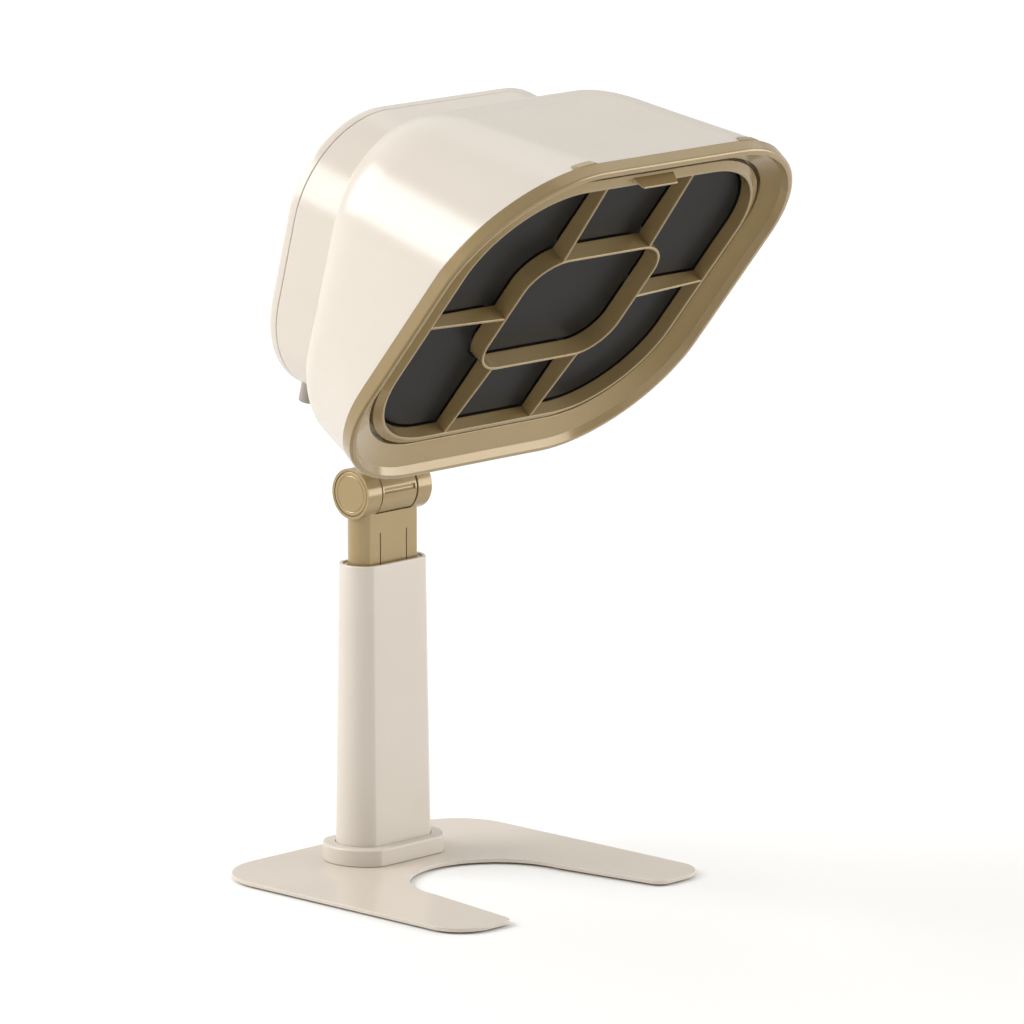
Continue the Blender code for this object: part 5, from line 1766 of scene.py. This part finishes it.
@dataclass
class Fan(SubAssembly):
    """Axial fan: the turned hub, its twisted blades and the screws of its frame."""

    housing: RearHousing
    bore_radius: float = 0.072
    hub_radius: float = 0.022
    hub_wall: float = 0.0022
    hub_back: float = 0.0155
    hub_front: float = 0.0310
    hub_round: float = 0.0018
    hub_edge: float = 0.0003
    hub_pole: float = 0.0006
    shaft_radius: float = 0.0015
    shaft_back: float = 0.0156
    blade_count: int = 7
    blade_gap: float = 0.003
    chord: float = 0.034
    root_share: float = 0.62
    thickness: float = 0.0018
    blade_points: int = 24
    blade_sections: int = 13
    pitches: tuple[float, float] = (38.0, 22.0)
    flange_front: float = 0.0318

    def build_hub(self) -> Object:
        """Build the hub cup and its shaft.

        Returns:
            The hub, about the Z axis.
        """
        inner, roof = self.hub_radius - self.hub_wall, self.hub_front - self.hub_wall
        profile = filleted(
            [
                (self.shaft_radius, self.shaft_back, 0),
                (self.shaft_radius, roof, 0),
                (inner, roof, 0),
                (inner, self.hub_back, 0),
                (self.hub_radius, self.hub_back, self.hub_edge),
                (self.hub_radius, self.hub_front, self.hub_round),
                (self.hub_pole, self.hub_front, 0),
            ]
        )
        return Form().turned(profile).piece("fan_impeller_moulded")

    def build_blade(self) -> Object:
        """Build one twisted blade along X, thick in the middle of its chord.

        Returns:
            The blade, for a repeater to copy.
        """
        middle = (self.hub_back + self.hub_front) / 2
        root, tip = self.hub_radius - self.hub_wall / 2, self.bore_radius - self.blade_gap
        along, level = circle(0.5, self.blade_points).T
        rings = []
        for share in np.linspace(0, 1, self.blade_sections):
            pitch = math.radians(self.pitches[0] + (self.pitches[1] - self.pitches[0]) * share)
            chord = self.chord * (self.root_share + (1 - self.root_share) * share)
            y = chord * along * math.cos(pitch) - self.thickness * level * math.sin(pitch)
            z = chord * along * math.sin(pitch) + self.thickness * level * math.cos(pitch)
            x = np.full(len(y), root + (tip - root) * share)
            rings.append(np.column_stack((x, y, middle + z)))
        return Form().loft(rings).piece("blade")

    def build_impeller(self) -> Object:
        """Build the hub and its ring of blades as one mesh.

        Returns:
            The impeller's object.
        """
        hub = self.build_hub()
        turns = [math.tau * number / self.blade_count for number in range(self.blade_count)]
        places = [(0.0, 0.0, 0.0)] * self.blade_count
        gather(hub, self.repeater.spread("fan_blades", self.build_blade(), places, NYLON, turns))
        hub.data.transform(REAR_PLANE)
        return hub

    def dress(self) -> None:
        """Dress the impeller, the screws of the frame, the frame and the motor."""
        self.show(self.build_impeller(), Body.FAN, Slot.NYLON, NYLON, ["fan_impeller"])
        places = [(x, y, self.flange_front) for x, y in self.housing.bosses()]
        self.show_screws("fan_screws", places, REAR_PLANE, [f"fan_screw_{number}" for number in range(1, 5)])
        self.dress_nodes(NYLON, "fan_frame")
        self.dress_nodes(ZINC, "fan_stator")


@dataclass
class Controls(SubAssembly):
    """Push button under the rear housing, its board and the power socket."""

    housing: RearHousing
    radius: float = 0.0045
    proud: float = 0.0086
    dome: float = 0.0012
    face_edge: float = 0.0012
    face_round: float = 0.0003
    face_hollow: float = 0.0001
    pole: float = 0.0005
    flange_radius: float = 0.0057
    flange_height: float = 0.0012
    flange_round: float = 0.0002

    def underside(self, side: float, inset: float) -> float:
        """Level of the housing's rounded underside at a distance sideways, drawn in by an inset."""
        past = side - (REAR.width / 2 - REAR.radius)
        return REAR.radius - REAR.height / 2 - math.sqrt((REAR.radius - inset) ** 2 - past**2)

    def build_button(self) -> Object:
        """Build the button, with a soft finger face and a flange that keeps it in.

        Returns:
            The button's object.
        """
        x, forward = self.housing.button_place
        wall = self.underside(-x, 0.0)
        low = self.underside(self.flange_radius - x, self.housing.wall) + SEAT_GAP - wall
        place = REAR_PLANE @ Matrix.Translation((x, wall, forward)) @ Matrix.Rotation(-math.pi / 2, 4, "X")
        profile = filleted(
            [
                (self.pole, 2 * self.face_hollow - self.proud, 0),
                (self.radius - self.face_edge, self.face_hollow - self.proud, self.face_round),
                (self.radius, -self.proud, self.dome),
                (self.radius, low, 0),
                (self.flange_radius, low, self.flange_round),
                (self.flange_radius, low + self.flange_height, 0),
            ]
        )
        return Form().turned(profile, place, HOLE_STEPS).piece("power_button_grained")

    def dress(self) -> None:
        """Dress the button, the board and the socket."""
        self.show(self.build_button(), Body.BUTTON, Slot.GREY_ABS, GREY_ABS, ["power_button"])
        self.dress_nodes(BOARD, "control_board")
        self.dress_nodes(NYLON, "power_socket")


# Studio

def toward(azimuth: float, elevation: float) -> Vector:
    """Point from the object towards a direction.

    Args:
        azimuth: Degrees from the front, to the right.
        elevation: Degrees above the horizon.

    Returns:
        A vector of length one.
    """
    turn, lift = math.radians(azimuth), math.radians(elevation)
    return Vector((math.sin(turn) * math.cos(lift), -math.cos(turn) * math.cos(lift), math.sin(lift)))


@dataclass(frozen=True)
class SoftBox:
    """Rectangular studio light that faces a target from a direction."""

    name: str
    azimuth: float
    elevation: float
    distance: float
    size: tuple[float, float]
    power: float
    spread: float = 180.0
    target: tuple[float, float, float] = (0.0, -0.09, 0.33)

    def hang(self) -> None:
        """Hang the light and aim it at its target."""
        data = bpy.data.lights.new(self.name, "AREA")
        data.shape = "RECTANGLE"
        data.size, data.size_y = self.size
        data.energy = self.power
        data.spread = math.radians(self.spread)
        away = toward(self.azimuth, self.elevation)
        lamp = linked(self.name, data)
        lamp.location = Vector(self.target) + away * self.distance
        lamp.rotation_euler = away.to_track_quat("Z", "Y").to_euler()


@dataclass
class Studio:
    """Pale floor, soft boxes and the camera at the photograph's angle."""

    floor_half: float = 80.0
    surround_colour: str = "FFFDFA"
    # Share of the way from straight down to straight up, and the strength of the light there.
    surround: tuple[tuple[float, float], ...] = (
        (0.0, 0.15), (0.06, 0.15), (0.20, 0.95), (0.486, 0.95), (0.496, 0.56), (1.0, 0.56),
    )
    camera_place: tuple[float, float, float] = (-3.1405, -3.1189, 1.0787)
    azimuth: float = -46.131
    elevation: float = 11.251
    lens: float = 285.25
    sensor: float = 36.0
    boxes: tuple[SoftBox, ...] = (
        SoftBox("window box", -138, 26, 1.7, (1.45, 0.92), 26),
        SoftBox("front right box", 48, 10, 2.4, (2.4, 1.8), 39),
        SoftBox("ceiling box", 135, 64, 4.0, (6.0, 6.0), 63),
        SoftBox("far floor box", 0, 90, 2.6, (4.0, 4.0), 26, spread=100, target=(2.9, 2.7, 0.0)),
    )

    def build_floor(self) -> None:
        """Lay the floor, which isn't part of the object."""
        half = self.floor_half
        corners = [(-half, -half, 0), (half, -half, 0), (half, half, 0), (-half, half, 0)]
        mesh = bpy.data.meshes.new("floor")
        mesh.from_pydata(corners, [], [(0, 1, 2, 3)])
        mesh.materials.append(FLOOR.material())
        floor = linked("floor", mesh)
        # The gloss in the photo mirrors a gradient that darkens downwards, so reflections pass through the
        # floor to the lower half of the surround.
        floor.visible_glossy = False

    def build_camera(self) -> None:
        """Set the camera where the photograph was taken from."""
        data = bpy.data.cameras.new("photo camera")
        data.lens = self.lens
        data.sensor_width = self.sensor
        camera = linked("photo camera", data)
        camera.location = self.camera_place
        camera.rotation_euler = toward(self.azimuth, self.elevation).to_track_quat("Z", "Y").to_euler()
        bpy.context.scene.camera = camera

    def build_surround(self) -> None:
        """Light the surroundings by height, in steps from straight down to straight up."""
        world = bpy.data.worlds.new("soft surround")
        world.use_nodes = True
        tree = world.node_tree
        ground = tree.nodes["Background"]
        ground.inputs["Color"].default_value = linear(self.surround_colour)
        way = add_node(tree, "ShaderNodeTexCoord").outputs["Generated"]
        rise = add_node(tree, "ShaderNodeSeparateXYZ", {"Vector": way}).outputs["Z"]
        share = add_node(tree, "ShaderNodeMapRange", {"Value": rise, "From Min": -1.0, "From Max": 1.0})
        ramp = add_node(tree, "ShaderNodeValToRGB", {"Fac": share.outputs["Result"]})
        stops = ramp.color_ramp.elements
        while len(stops) < len(self.surround):
            stops.new(1.0)
        for stop, (place, level) in zip(stops, self.surround):
            stop.position = place
            stop.color = (level, level, level, 1.0)
        tree.links.new(ramp.outputs["Color"], ground.inputs["Strength"])
        bpy.context.scene.world = world

    def build(self) -> None:
        """Build the floor, the lights, the surrounding light and the camera."""
        self.build_floor()
        for box in self.boxes:
            box.hang()
        self.build_surround()
        bpy.context.scene.view_settings.view_transform = "Standard"
        self.build_camera()


def main() -> None:
    """Build every sub-assembly in order, then the studio."""
    logging.basicConfig(level=logging.INFO, format="%(message)s")
    housing, hood, grille = RearHousing(), FrontHood(), FilterGrille()
    stand = [Base(), Column(), Post(), Neck()]
    head = [housing, hood, MouthBezel(hood, grille), grille, Fan(housing), Controls(housing)]
    for part in (*stand, *head):
        part.dress()
    Studio().build()


if __name__ == "__main__":
    main()
